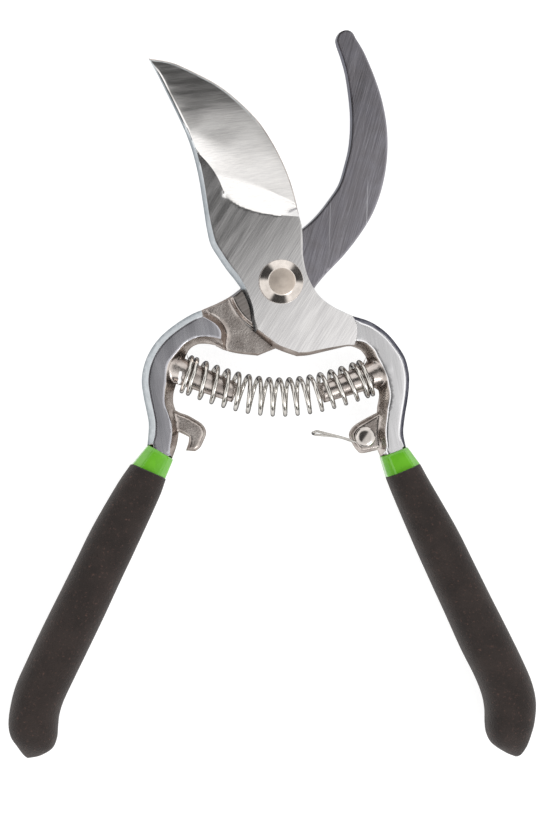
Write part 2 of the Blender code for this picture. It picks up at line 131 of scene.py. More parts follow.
def measure(points, outline):
    # how far each point lies inside an outline, and the slope and skin of its nearest side
    gap, near, left = nearestOn(points, outline["loop"], True)
    depth = np.where(left == outline["leftIn"], gap, -gap)
    return depth, outline["slope"][near], outline["skin"][near]


def lineDistance(points, line):
    # distance to an open line, and whether a point lies to its left
    gap, near, left = nearestOn(points, line, False)
    return gap, left


def softMin(a, b, k):
    h = np.maximum(k - np.abs(a - b), 0) / k
    return np.minimum(a, b) - h * h * k / 4


def softMax(a, b, k):
    return -softMin(-a, -b, k)


def smooth(low, high, value):
    t = np.clip((value - low) / (high - low), 0, 1)
    return t * t * (3 - 2 * t)


def sideSlope(depth, slope, low, high, rounding=0.5):
    # a drafted side that climbs from the parting line to a flat, with a rounded edge
    climb = low + (high - low) * depth / np.maximum(slope, 0.05)
    if high > low:
        return softMin(climb, np.full_like(climb, high), rounding)
    return softMax(climb, np.full_like(climb, high), rounding)


def makeObject(name, points, faces, materials, picks=None, sharp=40):
    mesh = bpy.data.meshes.new(name)
    mesh.from_pydata((np.asarray(points) * mm).tolist(), [], faces)
    for material in materials:
        mesh.materials.append(material)
    if picks is not None:
        mesh.polygons.foreach_set("material_index", np.asarray(picks, np.int32))
    mesh.validate()
    mesh.update()
    mesh.shade_smooth()
    if sharp:
        mesh.set_sharp_from_angle(angle=math.radians(sharp))
    obj = bpy.data.objects.new(name, mesh)
    bpy.context.scene.collection.objects.link(obj)
    return obj


def sideRings(outline):
    # lines that follow a part's sides, so that its edges stay crisp
    loop = outline["loop"]
    ahead = np.roll(loop, -1, 0) - np.roll(loop, 1, 0)
    ahead /= np.linalg.norm(ahead, axis=1)[:, None]
    inward = ahead[:, ::-1] * [-1, 1] * (1 if outline["leftIn"] else -1)
    lines = [(loop, np.ones(len(loop), bool), True)]
    for share, extra in ((0.5, 0.0), (0.85, 0.0), (1.0, 0.0), (1.0, 0.22), (1.0, 0.6)):
        offset = outline["slope"] * share + extra
        ring = loop + inward * offset[:, None]
        depth = measure(ring, outline)[0]
        lines.append((ring, depth > offset * 0.96 - 0.01, True))
    return lines


def forging(name, spec, materials):
    # a forged half: its outline filled with points, then lifted to its front and rear
    outline = spec["outline"]
    points, edges = [], []

    def addLine(line, keep, closed):
        start = sum(len(p) for p in points)
        number = np.where(keep, np.cumsum(keep) - 1 + start, -1)
        points.append(line[keep])
        count = len(line)
        for i in range(count if closed else count - 1):
            j = (i + 1) % count
            if keep[i] and keep[j] and np.hypot(*(line[i] - line[j])) < 1.2:
                edges.append((int(number[i]), int(number[j])))

    addLine(outline["loop"], np.ones(len(outline["loop"]), bool), True)
    for centre, radius in spec["holes"]:
        addLine(ringOf(centre, radius, 48), np.ones(48, bool), True)
    lines = [row for part in spec["parts"] for row in sideRings(part)]
    lines += [(line, np.ones(len(line), bool), False) for line in spec["lines"]]
    for line, keep, closed in lines:
        keep = keep & (measure(line, outline)[0] > 0.09)
        for centre, radius in spec["holes"]:
            keep &= np.linalg.norm(line - centre, axis=1) > radius + 0.2
        addLine(line, keep, closed)
    fixed = np.vstack(points)
    tree = treeOf(fixed)
    low, high = outline["loop"].min(0), outline["loop"].max(0)
    step = spec["step"]
    rows = []
    for i, y in enumerate(np.arange(low[1], high[1], step * 0.866)):
        xs = np.arange(low[0] + (i % 2) * step / 2, high[0], step)
        rows.append(np.column_stack([xs, np.full(len(xs), y)]))
    grid = np.vstack(rows)
    grid = grid[measure(grid, outline)[0] > step * 0.5]
    grid = grid[np.array([tree.find((x, y, 0))[2] > step * 0.55 for x, y in grid])]
    flat = np.vstack([fixed, grid])
    result = geometry.delaunay_2d_cdt([Vector(p) for p in flat], edges, [], 0, 1e-3, False)
    flat = np.array([tuple(v) for v in result[0]])
    tris = np.array([t for t in result[2] if len(t) == 3])
    middles = flat[tris].mean(1)
    keep = measure(middles, outline)[0] > 0
    for centre, radius in spec["holes"]:
        keep &= np.linalg.norm(middles - centre, axis=1) > radius * 0.99
    tris = tris[keep]
    used = np.unique(tris)
    renumber = np.zeros(len(flat), int)
    renumber[used] = np.arange(len(used))
    flat = flat[used]
    tris = renumber[tris]
    a, b, c = flat[tris[:, 0]], flat[tris[:, 1]], flat[tris[:, 2]]
    area = (b - a)[:, 0] * (c - a)[:, 1] - (b - a)[:, 1] * (c - a)[:, 0]
    tris[area < 0] = tris[area < 0][:, ::-1]
    front = spec["front"](flat)
    rear = np.minimum(spec["rear"](flat), front - 0.02)
    count = len(flat)
    body = np.vstack([np.column_stack([flat, front]), np.column_stack([flat, rear])])
    sides = np.vstack([tris[:, [0, 1]], tris[:, [1, 2]], tris[:, [2, 0]]])
    key = sides.min(1) * count + sides.max(1)
    first, times = np.unique(key, return_index=True, return_counts=True)[1:]
    rim = sides[first[times == 1]]
    faces = tris.tolist() + (tris[:, ::-1] + count).tolist()
    faces += [(int(b), int(a), int(a) + count, int(b) + count) for a, b in rim]
    middles = flat[tris].mean(1)
    picks = np.concatenate([spec["frontSkin"](middles), spec["rearSkin"](middles),
                            spec["rimSkin"](flat[rim].mean(1))])
    obj = makeObject(name, body, faces, materials, picks, spec["sharp"])
    print(name, len(faces), "faces")
    return obj


def lofted(name, rings, materials, closed=True, sharp=40):
    # skins rings of equal length; the far ends are closed with a fan
    count = len(rings[0])
    points = np.vstack(rings)
    faces = []
    for r in range(len(rings) - 1):
        for i in range(count):
            j = (i + 1) % count
            faces.append((r * count + i, r * count + j, (r + 1) * count + j, (r + 1) * count + i))
    if closed:
        for r, flip in ((0, True), (len(rings) - 1, False)):
            centre = len(points)
            points = np.vstack([points, rings[r].mean(0)])
            for i in range(count):
                j = (i + 1) % count
                a, b = r * count + i, r * count + j
                faces.append((b, a, centre) if flip else (a, b, centre))
    return makeObject(name, points, faces, materials, None, sharp)


def turned(name, profile, centre, materials, sides=96, sharp=30, closed=True):
    # a round piece from (radius, height) points
    rings = []
    for radius, height in profile:
        ring = ringOf(centre, radius, sides)
        rings.append(np.column_stack([ring, np.full(sides, height)]))
    return lofted(name, rings, materials, closed, sharp)


def weld(obj):
    # joins rings that meet and turns every face outwards
    bm = bmesh.new()
    bm.from_mesh(obj.data)
    bmesh.ops.remove_doubles(bm, verts=bm.verts, dist=1e-6)
    bmesh.ops.recalc_face_normals(bm, faces=bm.faces)
    bm.to_mesh(obj.data)
    bm.free()


def roundedProfile(points, radius, steps=4):
    # rounds the corners of an open (radius, height) profile
    p = [np.array(q, float) for q in points]
    out = [p[0]]
    for a, b, c in zip(p, p[1:], p[2:]):
        back = (a - b) / np.linalg.norm(a - b)
        on = (c - b) / np.linalg.norm(c - b)
        cut = min(radius, np.linalg.norm(a - b) * 0.45, np.linalg.norm(c - b) * 0.45)
        start, end = b + back * cut, b + on * cut
        for i in range(steps + 1):
            t = i / steps
            out.append((1 - t) ** 2 * start + 2 * t * (1 - t) * b + t * t * end)
    out.append(p[-1])
    return out


def wireAlong(name, path, radius, material, sides=12):
    # a round wire with slightly domed ends
    path = np.array(path, float)
    ahead = np.gradient(path, axis=0)
    ahead /= np.linalg.norm(ahead, axis=1)[:, None]
    side = np.cross(ahead[0], [0, 0, 1.0])
    if np.linalg.norm(side) < 0.2:
        side = np.cross(ahead[0], [0, 1.0, 0])
    rings = []
    last = len(path) - 1
    for i in range(len(path)):
        side = side - ahead[i] * side.dot(ahead[i])
        side /= np.linalg.norm(side)
        other = np.cross(ahead[i], side)
        angles = np.linspace(0, 2 * math.pi, sides, endpoint=False)
        wide = radius * (0.8 if i in (0, last) else 1)
        ring = path[i] + wide * (np.outer(np.cos(angles), side) + np.outer(np.sin(angles), other))
        if i == 0:
            rings.append(ring)
            rings.append(path[0] + ahead[0] * 0.12 * radius + (ring - path[0]) / 0.8)
        elif i == last:
            rings.append(path[last] - ahead[last] * 0.12 * radius + (ring - path[last]) / 0.8)
            rings.append(ring)
        else:
            rings.append(ring)
    return lofted(name, rings, [material], True, 0)


def newMaterial(name):
    material = bpy.data.materials.new(name)
    material.use_nodes = True
    nodes, links = material.node_tree.nodes, material.node_tree.links
    coords = nodes.new("ShaderNodeTexCoord").outputs["Object"]
    return material, nodes, links, nodes["Principled BSDF"], coords


def noiseAt(nodes, links, coords, turn, stretch, scale, detail=3.0, rough=0.55):
    # noise stretched along one direction, for brushing and grain
    place = nodes.new("ShaderNodeMapping")
    place.vector_type = "TEXTURE"
    place.inputs["Rotation"].default_value = (0, 0, math.radians(turn))
    place.inputs["Scale"].default_value = stretch
    links.new(coords, place.inputs["Vector"])
    noise = nodes.new("ShaderNodeTexNoise")
    noise.inputs["Scale"].default_value = scale
    noise.inputs["Detail"].default_value = detail
    noise.inputs["Roughness"].default_value = rough
    links.new(place.outputs["Vector"], noise.inputs["Vector"])
    return noise.outputs["Fac"]


def grainAt(nodes, links, coords, scale, detail=3.0, rough=0.55):
    # noise that is alike in every direction
    return noiseAt(nodes, links, coords, 0, (1, 1, 1), scale, detail, rough)


def addBump(nodes, links, shader, height, strength, distance):
    bump = nodes.new("ShaderNodeBump")
    bump.inputs["Strength"].default_value = strength
    bump.inputs["Distance"].default_value = distance
    links.new(height, bump.inputs["Height"])
    links.new(bump.outputs["Normal"], shader.inputs["Normal"])


def span(nodes, links, value, low, high, outLow, outHigh):
    # maps one range of a value to another
    node = nodes.new("ShaderNodeMapRange")
    node.inputs["From Min"].default_value = low
    node.inputs["From Max"].default_value = high
    node.inputs["To Min"].default_value = outLow
    node.inputs["To Max"].default_value = outHigh
    links.new(value, node.inputs["Value"])
    return node.outputs["Result"]


def mixColour(nodes, links, factor, a, b):
    node = nodes.new("ShaderNodeMix")
    node.data_type = "RGBA"
    for socket, colour in ((node.inputs["A"], a), (node.inputs["B"], b)):
        if isinstance(colour, tuple):
            socket.default_value = (*colour, 1)
        else:
            links.new(colour, socket)
    links.new(factor, node.inputs["Factor"])
    return node.outputs["Result"]


def brushedSteel(name, finish):
    # brushed metal: fine lines in one direction, a few deeper scratches and soft mottling
    material, nodes, links, shader, coords = newMaterial(name)
    turn = finish["angle"]
    lines = noiseAt(nodes, links, coords, turn, (22, 1, 1), finish["lines"], 4)
    broad = noiseAt(nodes, links, coords, turn, (8, 1, 1), finish["lines"] * 0.18, 3)
    mottle = grainAt(nodes, links, coords, 220, 4)
    scratch = noiseAt(nodes, links, coords, turn + 14, (45, 1, 1), finish["lines"] * 0.55, 1)
    shade = span(nodes, links, lines, 0.3, 0.7, 0.0, 1.0)
    base = mixColour(nodes, links, shade, finish["dark"], finish["light"])
    tone = span(nodes, links, mottle, 0.35, 0.65, 0.0, finish.get("mottle", 0.3))
    base = mixColour(nodes, links, tone, base, finish["stain"])
    marks = span(nodes, links, scratch, 0.70, 0.78, 0.0, finish.get("scratch", 0.5))
    base = mixColour(nodes, links, marks, base, finish["mark"])
    links.new(base, shader.inputs["Base Color"])
    shader.inputs["Metallic"].default_value = 1.0
    shader.inputs["Specular Tint"].default_value = (0.34, 0.35, 0.37, 1)     # darker at a grazing look
    rough = span(nodes, links, broad, 0.3, 0.7, finish["rough"] - 0.05, finish["rough"] + 0.06)
    links.new(rough, shader.inputs["Roughness"])
    add = nodes.new("ShaderNodeMath")
    add.operation = "ADD"
    links.new(lines, add.inputs[0])
    links.new(broad, add.inputs[1])
    addBump(nodes, links, shader, add.outputs[0], finish["bump"], 0.00004)
    return material


def forgedSkin(name, finish):
    # satin nickel over a shot-blasted forging: fine pits and warm mottling
    material, nodes, links, shader, coords = newMaterial(name)
    pits = grainAt(nodes, links, coords, finish["pits"], 4, 0.65)
    cloud = grainAt(nodes, links, coords, 260, 4)
    tone = span(nodes, links, cloud, 0.35, 0.65, 0.0, 1.0)
    base = mixColour(nodes, links, tone, finish["dark"], finish["light"])
    fleck = span(nodes, links, pits, 0.62, 0.72, 0.0, 0.5)
    base = mixColour(nodes, links, fleck, base, finish["fleck"])
    links.new(base, shader.inputs["Base Color"])
    shader.inputs["Metallic"].default_value = 1.0
    shader.inputs["Specular Tint"].default_value = (0.40, 0.37, 0.35, 1)
    rough = span(nodes, links, pits, 0.3, 0.7, finish["rough"] - 0.06, finish["rough"] + 0.08)
    links.new(rough, shader.inputs["Roughness"])
    addBump(nodes, links, shader, pits, finish["bump"], 0.00012)
    return material


def brightPlate(name, finish):
    # bright plated metal with faint smudges
    material, nodes, links, shader, coords = newMaterial(name)
    smudge = grainAt(nodes, links, coords, finish["grain"], 4, 0.6)
    base = mixColour(nodes, links, span(nodes, links, smudge, 0.35, 0.65, 0, 1),
                     finish["dark"], finish["light"])
    links.new(base, shader.inputs["Base Color"])
    shader.inputs["Metallic"].default_value = 1.0
    if "edge" in finish:                        # darker at a grazing look
        shader.inputs["Specular Tint"].default_value = (*finish["edge"], 1)
    rough = span(nodes, links, smudge, 0.3, 0.7, finish["rough"], finish["rough"] + 0.1)
    links.new(rough, shader.inputs["Roughness"])
    addBump(nodes, links, shader, smudge, finish["bump"], 0.00003)
    return material


def dippedVinyl(name, finish):
    material, nodes, links, shader, coords = newMaterial(name)
    cloud = grainAt(nodes, links, coords, 300, 3)
    ripple = grainAt(nodes, links, coords, 900, 2)
    base = mixColour(nodes, links, span(nodes, links, cloud, 0.35, 0.65, 0, 1),
                     finish["deep"], finish["pale"])
    links.new(base, shader.inputs["Base Color"])
    rough = span(nodes, links, ripple, 0.3, 0.7, finish["rough"], finish["rough"] + 0.08)
    links.new(rough, shader.inputs["Roughness"])
    shader.inputs["Coat Weight"].default_value = 0.35
    shader.inputs["Coat Roughness"].default_value = 0.12
    addBump(nodes, links, shader, ripple, 0.25, 0.00015)
    return material


def foamSkin(name, finish):
    # closed-cell foam: fine cells, brown speckle and a slightly rubbed tone
    material, nodes, links, shader, coords = newMaterial(name)
    cells = nodes.new("ShaderNodeTexVoronoi")
    cells.inputs["Scale"].default_value = finish["cells"]
    links.new(coords, cells.inputs["Vector"])
    grain = grainAt(nodes, links, coords, finish["grain"], 4, 0.7)
    cloud = grainAt(nodes, links, coords, 160, 3)
    base = mixColour(nodes, links, span(nodes, links, cloud, 0.35, 0.65, 0, 1),
                     finish["dark"], finish["light"])
    base = mixColour(nodes, links, span(nodes, links, grain, 0.58, 0.72, 0, 0.8),
                     base, finish["speckle"])
    links.new(base, shader.inputs["Base Color"])
    shader.inputs["Roughness"].default_value = 0.88
    shader.inputs["Specular IOR Level"].default_value = 0.3
    shader.inputs["Sheen Weight"].default_value = 0.12
    shader.inputs["Sheen Roughness"].default_value = 0.5
    add = nodes.new("ShaderNodeMath")
    add.operation = "ADD"
    links.new(cells.outputs["Distance"], add.inputs[0])
    links.new(grain, add.inputs[1])
    addBump(nodes, links, shader, add.outputs[0], finish["bump"], 0.0002)
    return material


plateSteel = brushedSteel("plateSteel", {
    "angle": 58, "lines": 2600, "dark": (0.72, 0.71, 0.72), "light": (0.90, 0.89, 0.89),
    "stain": (0.74, 0.73, 0.74), "mark": (1.0, 1.0, 1.0), "rough": 0.16, "bump": 0.10,
    "mottle": 0.2, "scratch": 0.35,
})
groundSteel = brushedSteel("groundSteel", {
    "angle": 8, "lines": 2600, "dark": (0.74, 0.73, 0.73), "light": (0.86, 0.85, 0.84),
    "stain": (0.78, 0.75, 0.73), "mark": (0.92, 0.92, 0.90), "rough": 0.135, "bump": 0.07,
    "mottle": 0.15, "scratch": 0.12,
})
jawSteel = brushedSteel("jawSteel", {
    "angle": 74, "lines": 2300, "dark": (0.30, 0.29, 0.33), "light": (0.45, 0.44, 0.49),
    "stain": (0.30, 0.28, 0.29), "mark": (0.75, 0.75, 0.80), "rough": 0.17, "bump": 0.2,
    "mottle": 0.45, "scratch": 0.6,
})
shankSteel = brushedSteel("shankSteel", {
    "angle": 100, "lines": 1900, "dark": (0.74, 0.74, 0.76), "light": (0.86, 0.86, 0.88),
    "stain": (0.76, 0.75, 0.77), "mark": (0.92, 0.92, 0.92), "rough": 0.24, "bump": 0.08,
    "mottle": 0.3, "scratch": 0.1,
})
# a darker copy of shankSteel for the hook half's shank top: painted shade
paintedShadeShankSteel = brushedSteel("paintedShadeShankSteel", {
    "angle": 100, "lines": 1900, "dark": (0.46, 0.46, 0.50), "light": (0.58, 0.58, 0.62),
    "stain": (0.46, 0.45, 0.49), "mark": (0.80, 0.80, 0.82), "rough": 0.24, "bump": 0.08,
    "mottle": 0.35, "scratch": 0.15,
})
bossSteel = brushedSteel("bossSteel", {
    "angle": 30, "lines": 1500, "dark": (0.40, 0.36, 0.34), "light": (0.55, 0.51, 0.49),
    "stain": (0.36, 0.33, 0.31), "mark": (0.8, 0.8, 0.8), "rough": 0.12, "bump": 0.1,
})
sideSteel = brightPlate("sideSteel", {
    "grain": 500, "dark": (0.58, 0.61, 0.63), "light": (0.70, 0.73, 0.75), "rough": 0.16, "bump": 0.1,
    "edge": (0.30, 0.32, 0.34),
})
# a darker copy of sideSteel: painted shade on the right shank's polished sides, front, rear and outer rim
shadeSteel = brightPlate("shadeSteel", {
    "grain": 500, "dark": (0.26, 0.26, 0.28), "light": (0.40, 0.40, 0.43), "rough": 0.22, "bump": 0.1,
    "edge": (0.12, 0.12, 0.14),
})
rivetSteel = brightPlate("rivetSteel", {
    "grain": 500, "dark": (0.46, 0.43, 0.41), "light": (0.64, 0.60, 0.57), "rough": 0.1, "bump": 0.05,
    "edge": (0.04, 0.04, 0.04),
})
forgedNickel = forgedSkin("forgedNickel", {
    "pits": 1900, "dark": (0.33, 0.29, 0.27), "light": (0.60, 0.55, 0.52),
    "fleck": (0.85, 0.80, 0.76), "rough": 0.22, "bump": 0.22,
})
boltSteel = brightPlate("boltSteel", {
    "grain": 300, "dark": (0.50, 0.46, 0.43), "light": (0.68, 0.63, 0.59), "rough": 0.10, "bump": 0.04,
})
boltFace = forgedSkin("boltFace", {
    "pits": 3200, "dark": (0.56, 0.49, 0.43), "light": (0.72, 0.64, 0.57),
    "fleck": (0.80, 0.74, 0.68), "rough": 0.4, "bump": 0.3,
})
brightWire = brightPlate("brightWire", {
    "grain": 400, "dark": (0.50, 0.48, 0.45), "light": (0.68, 0.66, 0.63), "rough": 0.09, "bump": 0.03,
    "edge": (0.10, 0.10, 0.11),
})
zincPlate = brightPlate("zincPlate", {
    "grain": 700, "dark": (0.46, 0.46, 0.48), "light": (0.66, 0.66, 0.68), "rough": 0.3, "bump": 0.4,
})
nylonWhite = dippedVinyl("nylonWhite", {
    "deep": (0.55, 0.57, 0.62), "pale": (0.68, 0.70, 0.74), "rough": 0.45,
})
greenVinyl = dippedVinyl("greenVinyl", {
    "deep": (0.105, 0.39, 0.012), "pale": (0.14, 0.46, 0.02), "rough": 0.2,
})
brownFoam = foamSkin("brownFoam", {
    "cells": 2600, "grain": 1300, "dark": (0.021, 0.0155, 0.0140), "light": (0.031, 0.0225, 0.0200),
    "speckle": (0.115, 0.062, 0.050), "bump": 0.6,
})
print("materials done")


heights = {
    "bladeRear": 9.15, "top": 13.3, "hookRear": 5.2, "hookFace": 8.85, "tangFace": 8.4,
    "shankRear": 4.7, "parting": 9.0, "lugTop": 10.6, "lugRear": 7.4,
}
polished, forged, plate, edged = 0, 1, 2, 3     # skins of the sides
pegShape = {"root": 3.6, "nose": 2.7, "right": ((27.6, -24.3), (11.2, -30.3)),
            "left": ((-29.5, -23.2), (-11.9, -30.2))}


def pegRadius(along, reach):
    root, nose = pegShape["root"], pegShape["nose"]
    return np.interp(along, [-2, -1, 0, 1, 2, 3, reach - 0.7, reach - 0.2, reach],
                     [root + 1.9, root + 1.35, root + 0.85, root + 0.42, root + 0.15, root,
                      nose, nose - 0.3, nose - 0.7])


def pegFrame(ends):
    # a peg's root, its length, the way it points and the way across it
    a, b = (np.array(e) for e in ends)
    reach = np.linalg.norm(b - a)
    ahead = (b - a) / reach
    return a, reach, ahead, np.array([-ahead[1], ahead[0]])


def pegSide(ends, start, upward):
    # the peg's outline from its root to its nose, on one side
    a, reach, ahead, out = pegFrame(ends)
    out = out * (1 if ahead[0] * upward > 0 else -1)
    at = np.array([start, start + 1, 3.5, reach * 0.5, reach - 0.7, reach - 0.2, reach])
    return [tuple(a + ahead * s + out * r) for s, r in zip(at, pegRadius(at, reach))]


def pegLines(ends):
    # lines along the peg that keep it round
    a, reach, ahead, out = pegFrame(ends)
    at = np.linspace(0, reach - 0.15, 34)
    return [a + np.outer(at, ahead) + np.outer(pegRadius(at, reach) * math.sin(math.radians(t)), out)
            for t in (-80, -68, -55, -40, -25, -10, 10, 25, 40, 55, 68, 80)]


def pegHeight(points, ends):
    a, reach, ahead, out = pegFrame(ends)
    off = points - a
    along = off @ ahead
    aside = np.abs(off @ out)
    radius = pegRadius(along, reach)
    lift = np.sqrt(np.maximum(radius ** 2 - aside ** 2, 0.01))
    lift = lift * np.minimum(1, (pegShape["root"] - 0.1) / radius)      # the flare stays under the top
    return np.where((along > -2.5) & (along < reach + 0.5) & (aside < radius + 0.3), lift, 0.1)


def stubRuns(stub):
    # the tang's end inside the handle
    return [(0.3, forged, stub[:3]), (0.3, forged, stub[2:4]), (0.3, forged, stub[3:])]


rightPeg, leftPeg = pegShape["right"], pegShape["left"]
edgeLine = [(-35.7, 60.5), (-29.3, 59.4), (-22.6, 56.5), (-16.3, 53.1), (-11.1, 49.0), (-5.9, 43.8),
            (-1.7, 37.5), (1.4, 31.3), (3.5, 25.5), (4.8, 20.3), (5.3, 17.5)]
plateRight = [(5.3, 17.5), (6.0, 14.9), (6.2, 11.0), (6.3, 7.3), (7.2, 2.8), (8.9, -1.0),
              (11.3, -4.2), (15.2, -6.9), (19.7, -9.0)]
rightOuter = [(19.7, -9.0), (24.9, -10.7), (29.2, -13.6), (32.4, -17.3), (34.4, -20.6), (35.4, -24.5),
              (35.5, -27.8), (35.1, -31.8), (34.3, -36.7), (33.9, -41.0), (34.7, -45.2)]
rightStub = [(34.7, -45.2), (33.9, -45.6), (35.6, -49.0), (29.8, -51.2), (28.5, -47.7), (27.8, -47.8)]
rightInnerLow = [(27.8, -47.8), (27.2, -46.4), (26.9, -45.6)]
rightLugEdge = [(26.9, -45.6), (22.6, -46.5), (21.2, -45.7), (20.0, -44.0), (19.2, -42.4),
                (19.1, -40.9), (20.3, -39.1), (22.9, -37.4), (26.7, -35.4)]
rightInnerMid = [(26.7, -35.4), (26.8, -33.8), (27.3, -30.8), (27.0, -28.9)]
rightInnerTop = [(24.0, -21.2), (23.4, -19.8), (22.2, -18.4), (20.8, -17.7)]
rightCrook = [(20.8, -17.7), (19.6, -17.35), (18.3, -17.4)]
plateBottom = [(18.3, -17.4), (13.1, -18.6), (7.9, -19.8), (4.7, -20.1)]
plateNose = [(4.7, -20.1), (0.6, -18.7), (-2.2, -17.3), (-6.9, -13.4)]
plateLeft = [(-6.9, -13.4), (-7.7, -10.2), (-8.2, -7.0), (-9.2, -4.2), (-10.6, -1.6), (-12.3, 0.7),
             (-14.4, 3.3), (-16.8, 6.8), (-18.9, 10.4), (-20.0, 15.2)]
spineLine = [(-20.0, 15.2), (-21.0, 22.0), (-22.1, 28.7), (-23.6, 34.9), (-25.4, 40.1), (-27.8, 45.3),
             (-30.4, 50.5), (-33.0, 55.7), (-35.7, 60.5)]
grindUpper = [(-36.2, 60.9), (-32.5, 55.9), (-29.9, 50.6), (-27.3, 45.4), (-24.9, 40.3), (-23.7, 37.0),
              (-22.3, 34.6), (-19.6, 31.6), (-17.5, 28.6), (-16.0, 25.2), (-15.3, 22.4)]
grindLower = [(-15.3, 22.4), (-12.3, 20.6), (-7.2, 19.0), (-1.8, 18.2), (3.0, 17.8), (5.9, 17.6)]

plateRuns = [
    (0.6, forged, plateBottom[:2]), (0.9, forged, plateBottom[1:]), (1.1, forged, plateNose),
    (0.6, polished, plateLeft[:5]), (1.2, polished, plateLeft[4:]), (0.9, polished, spineLine[:5]),
    (0.45, polished, spineLine[4:]),
]
bladeOutline = closeOutline([
    (0.26, edged, edgeLine), (0.35, polished, plateRight), (1.35, polished, rightOuter),
    *stubRuns(rightStub), (1.8, forged, rightInnerLow), (0.9, forged, rightLugEdge),
    (2.3, forged, rightInnerMid), (0.1, forged, pegSide(rightPeg, 2.9, -1)),
    (0.1, forged, pegSide(rightPeg, 2.6, 1)[::-1]), (2.4, forged, rightInnerTop),
    (1.3, forged, rightCrook), *plateRuns,
])
bladePlate = closeOutline([
    (0.26, edged, edgeLine), (0.35, polished, plateRight),
    (0.12, plate, [(19.7, -9.0), (20.7, -11.4), (20.9, -14.2), (20.3, -17.4)]),
    (0.4, forged, [(20.3, -17.4), (18.3, -17.4)]), *plateRuns,
])
rightShank = closeOutline([
    (1.35, polished, rightOuter), *stubRuns(rightStub), (2.0, forged, rightInnerLow),
    (2.3, forged, [(26.9, -45.6), (26.3, -41.0), (26.7, -35.4)]),
    (2.5, forged, rightInnerMid + [(26.2, -25.4)] + rightInnerTop), (1.3, forged, rightCrook),
    (0.6, polished, [(18.3, -17.4), (15.8, -16.0), (13.9, -13.2), (13.8, -10.0), (15.2, -6.9)]),
    (0.35, polished, [(15.2, -6.9), (19.7, -9.0)]),
])
rightLug = closeOutline([
    (0.9, 0, rightLugEdge), (0.5, 0, [(26.7, -35.4), (30.5, -35.0)]),
    (0.5, 0, [(30.5, -35.0), (30.5, -46.0)]), (0.5, 0, [(30.5, -46.0), (26.9, -45.6)]),
])
grindLine = np.vstack([curveThrough(grindUpper, 0.4), curveThrough(grindLower, 0.4)[1:]])
grindSpine = curveThrough([(-37.0, 62.0), (-33.0, 56.2), (-29.8, 50.2), (-26.9, 43.8), (-24.1, 37.2),
                           (-20.7, 30.5), (-17.0, 24.0), (-14.0, 17.5), (-11.2, 11.0), (-8.2, 4.0)], 0.4)
spineReach = curveThrough(grindUpper + [(-14.6, 20.0), (-13.2, 16.5), (-11.8, 12.0), (-10.4, 7.0)], 0.4)
lowerCurve = curveThrough([(-19.0, 25.8)] + grindLower, 0.4)
hollowCurve = curveThrough([(-22.0, 31.2), (-17.5, 29.2), (-11.0, 28.0), (-5.0, 26.2), (0.0, 23.8),
                            (4.2, 21.7), (8.0, 19.4)], 0.4)
edgeCurve = curveThrough(edgeLine, 0.4)
grind = {"edgeHeight": 9.36, "bevel": 0.6, "bevelDrop": 0.10, "taper": 0.135, "lip": 0.13,
         "hollow": 0.55, "cove": 0.4}


# how steeply the face falls away along its length; the spine thins towards the tip
fallAt = np.arange(-24, 64, 0.25)
fallSlope = np.interp(fallAt, [-24, 10, 19, 34, 46, 64], [-0.055, 0.0, 0.015, 0.030, 0.090, 0.110])
fallen = np.cumsum(fallSlope) * 0.25
fallen = fallen - np.interp(10, fallAt, fallen)


def plateTop(points):
    # the tang's face, belt-ground and so a touch crowned from the pivot both ways
    crown = 0.0003 * (points[:, 0] + 6) ** 2
    return heights["top"] - np.interp(points[:, 1], fallAt, fallen) - crown


def groundTop(points):
    # the ground face falls from the spine to the edge and runs out in a hollow at its lower end
    y = points[:, 1]
    toSpine, spineLeft = lineDistance(points, grindSpine)
    toEdge = lineDistance(points, edgeCurve)[0]
    toSpine = np.where(spineLeft, toSpine, 0)
    share = toSpine / (toSpine + toEdge + 0.2)
    share = share * (1 + grind["hollow"] * (1 - share))
    bevel = smooth(40, 50, y) * grind["bevelDrop"]
    thin = grind["edgeHeight"] + 0.1 + grind["taper"] * (toSpine + toEdge)
    start = plateTop(points)
    start += (softMin(start, thin, 0.5) - start) * smooth(29, 42, y)
    deep = np.maximum((start - grind["edgeHeight"] - bevel) * share, 0)
    deep += grind["cove"] * smooth(32, 24, y) * smooth(2.0, -8.0, points[:, 0])
    toLower, lowerLeft = lineDistance(points, lowerCurve)
    toLower = np.where(lowerLeft, toLower, -toLower)
    toHollow, above = lineDistance(points, hollowCurve)
    inHollow = np.where(above, 0, toHollow)
    rise = inHollow / np.maximum(inHollow + np.maximum(toLower, 0), 0.1)
    reach, inside = lineDistance(points, spineReach)
    reach = np.where(inside, reach, -reach)
    lip = np.clip(1 - np.maximum(reach, 0) / grind["lip"], 0, 1)
    face = start - deep * (1 - np.maximum(rise ** 1.4, lip))
    face = np.where((toLower < 0) | (reach < 0), start, face)
    face -= bevel * np.clip(1 - toEdge / grind["bevel"], 0, 1)
    past = np.minimum(reach, toLower)
    return face, past           # past is above 0 on the ground face


def bladeFront(points):
    depth, slope, skin = measure(points, bladePlate)
    face = groundTop(points)[0]
    low = heights["bladeRear"] + 0.15
    climb = low + (heights["top"] - low) * depth / np.maximum(slope, 0.05)
    tang = softMin(climb, face, 0.12)
    under = smooth(0.0, 0.25, depth) * 0.6
    depth, slope, skin = measure(points, rightShank)
    crown = heights["top"] - 0.5 - under - 0.003 * (4.0 - np.clip(depth, 0, 4.0)) ** 2
    shank = softMin(heights["parting"] + 0.3 + (crown - 9.3) * depth / slope, crown, 0.8)
    depth, slope, skin = measure(points, rightLug)
    lug = sideSlope(depth, slope, 9.3, heights["lugTop"])
    peg = heights["parting"] + pegHeight(points, rightPeg)
    return softMax(softMax(softMax(tang, shank, 0.1), lug, 0.7), peg, 0.5)


